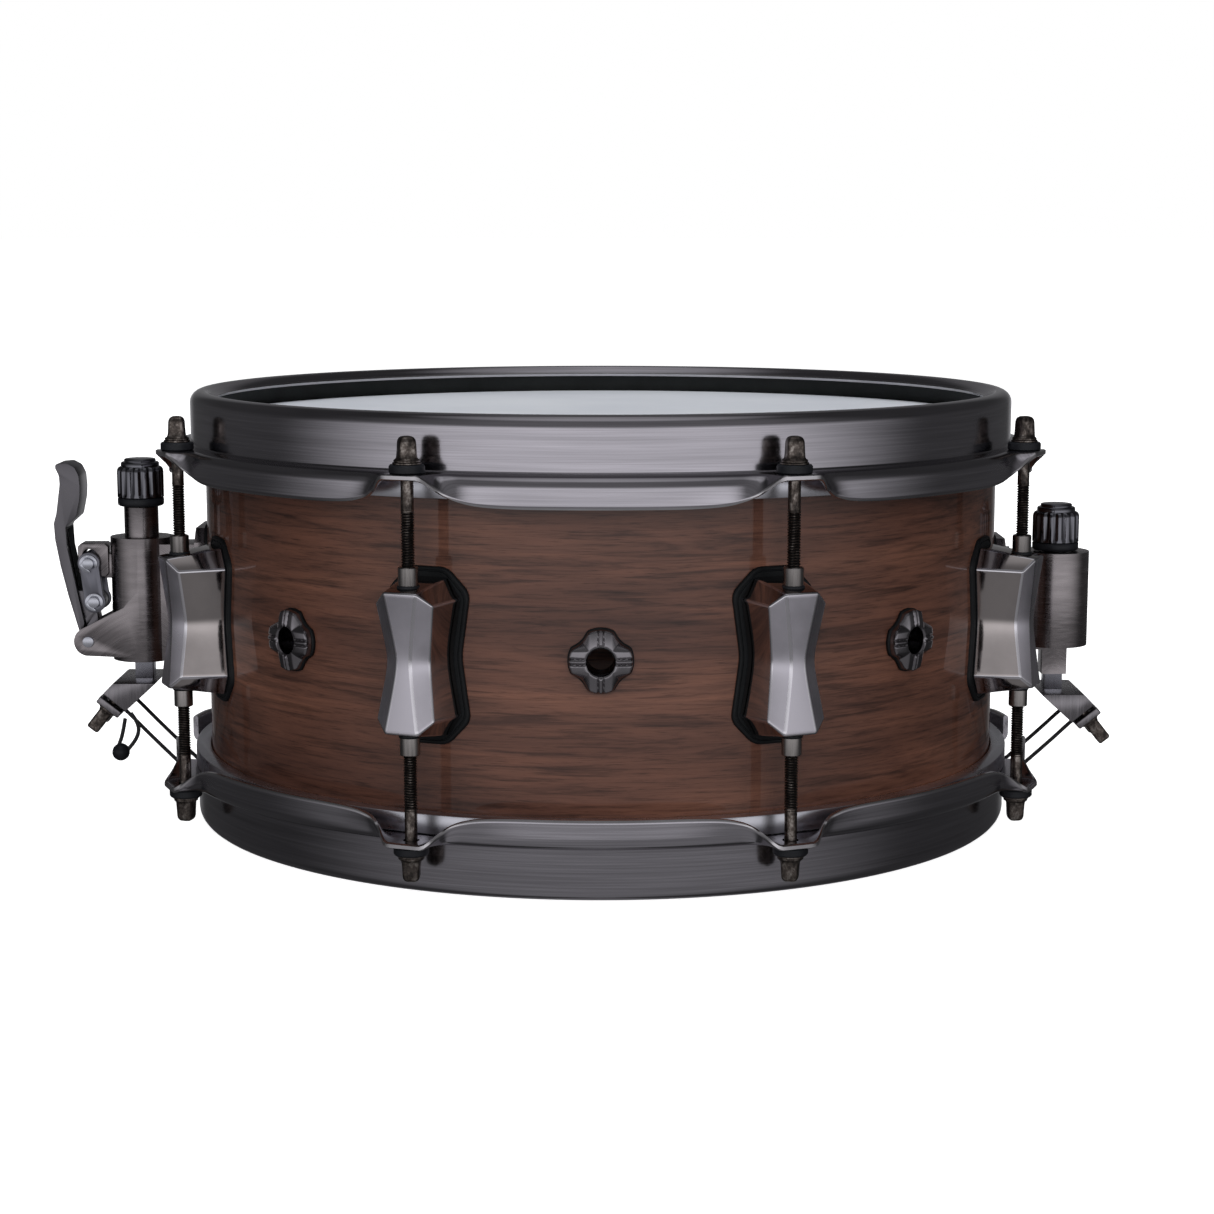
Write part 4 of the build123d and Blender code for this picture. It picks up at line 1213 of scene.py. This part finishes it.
def make_snare_cords():
    """The four short cords that pull the snares, from the end plates to the clamps."""
    under = 12.95 - 0.3 - CORD_R
    for word, x, side, top in (("strainer", STRAINER_X, -1, 58.4), ("butt", BUTT_X, 1, 53.2)):
        nx, nz = 0.6247, -0.7809
        inner, outer = [], []
        for y in (-14.0, 14.0):
            entry = Vector((x + side * (6.1 + 0.95 * nx), y, top - 12.6 + 0.95 * nz))
            inside = Vector((x + side * (9.3 + 0.95 * nx), y, top - 10.04 + 0.95 * nz))
            start = Vector((side * 155.2, y, under - 0.2))
            bend = Vector((side * 180.8, y, under - 1.5))
            sag = Vector((0.0, 0.0, -0.6))
            middle = bend.lerp(entry, 0.5) + sag
            inner.append(tube_along([start, start.lerp(bend, 0.45), bend, bend.lerp(entry, 0.25) + sag,
                                     middle], CORD_R))
            outer.append(tube_along([middle, bend.lerp(entry, 0.75) + sag, entry, inside], CORD_R))
        halves = [("inner", inner, "drum", "carriage", (side * 160, side * 192)),
                  ("outer", outer, "carriage", f"{word}_post", (side * 196, side * 204))]
        if word == "butt":
            halves = [("runs", inner + outer, "drum", "butt_post", (side * 160, side * 202))]
        for part, groups, first, second, (near, far) in halves:
            made = piece(f"{word}_cords_{part}", *joined(groups), "cord", None)
            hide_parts(f"{word}_cords")
            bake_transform(made, first, second, (near * MM, 0, 0.02), (far * MM, 0, 0.02))


def make_lever():
    """The strainer's lever, with painted shade (a black material) inside the channel along its inner side.
    """
    made = softened("strainer_lever", "strainer_lever_curved", "lever", 0.8, 3)
    made.data.materials.append(MAT["painted_shade"])
    low, high, half_width = 86.0, 127.3, 7.3
    web_half, web_top = 4.9, 99.4
    for polygon in made.data.polygons:
        x, y, z = polygon.center / MM
        back = -244.4 + 0.21 * (high - z)
        beside_web = abs(y) > web_half or z > web_top
        if low < z < high and abs(y) < half_width and x > back and beside_web:
            polygon.material_index = 1


bpy.context.scene.view_settings.view_transform = "Standard"
make_camera()
make_world()
make_floor()
make_lights()
make_tail()
make_hoop("batter_hoop", "batter_hoop_pressed", False)
make_hoop("snare_hoop", "snare_hoop_pressed", True)
make_shell()
make_head("batter_head", "batter_head_film", "film", False)
make_head("snare_head", "snare_head_film", "clear", True)
make_rods()
make_lugs()
make_gaskets()
make_vents()
make_knob("strainer", STRAINER_X, 141.0, 158.7, "strainer_knob")
make_knob("butt", BUTT_X, 120.6, 138.2, "butt_knob")
make_lever()
for node, material, width, segments in SOFTENED:
    softened(node, node + "_finished", material, width, segments)
make_wires()
make_snare_cords()
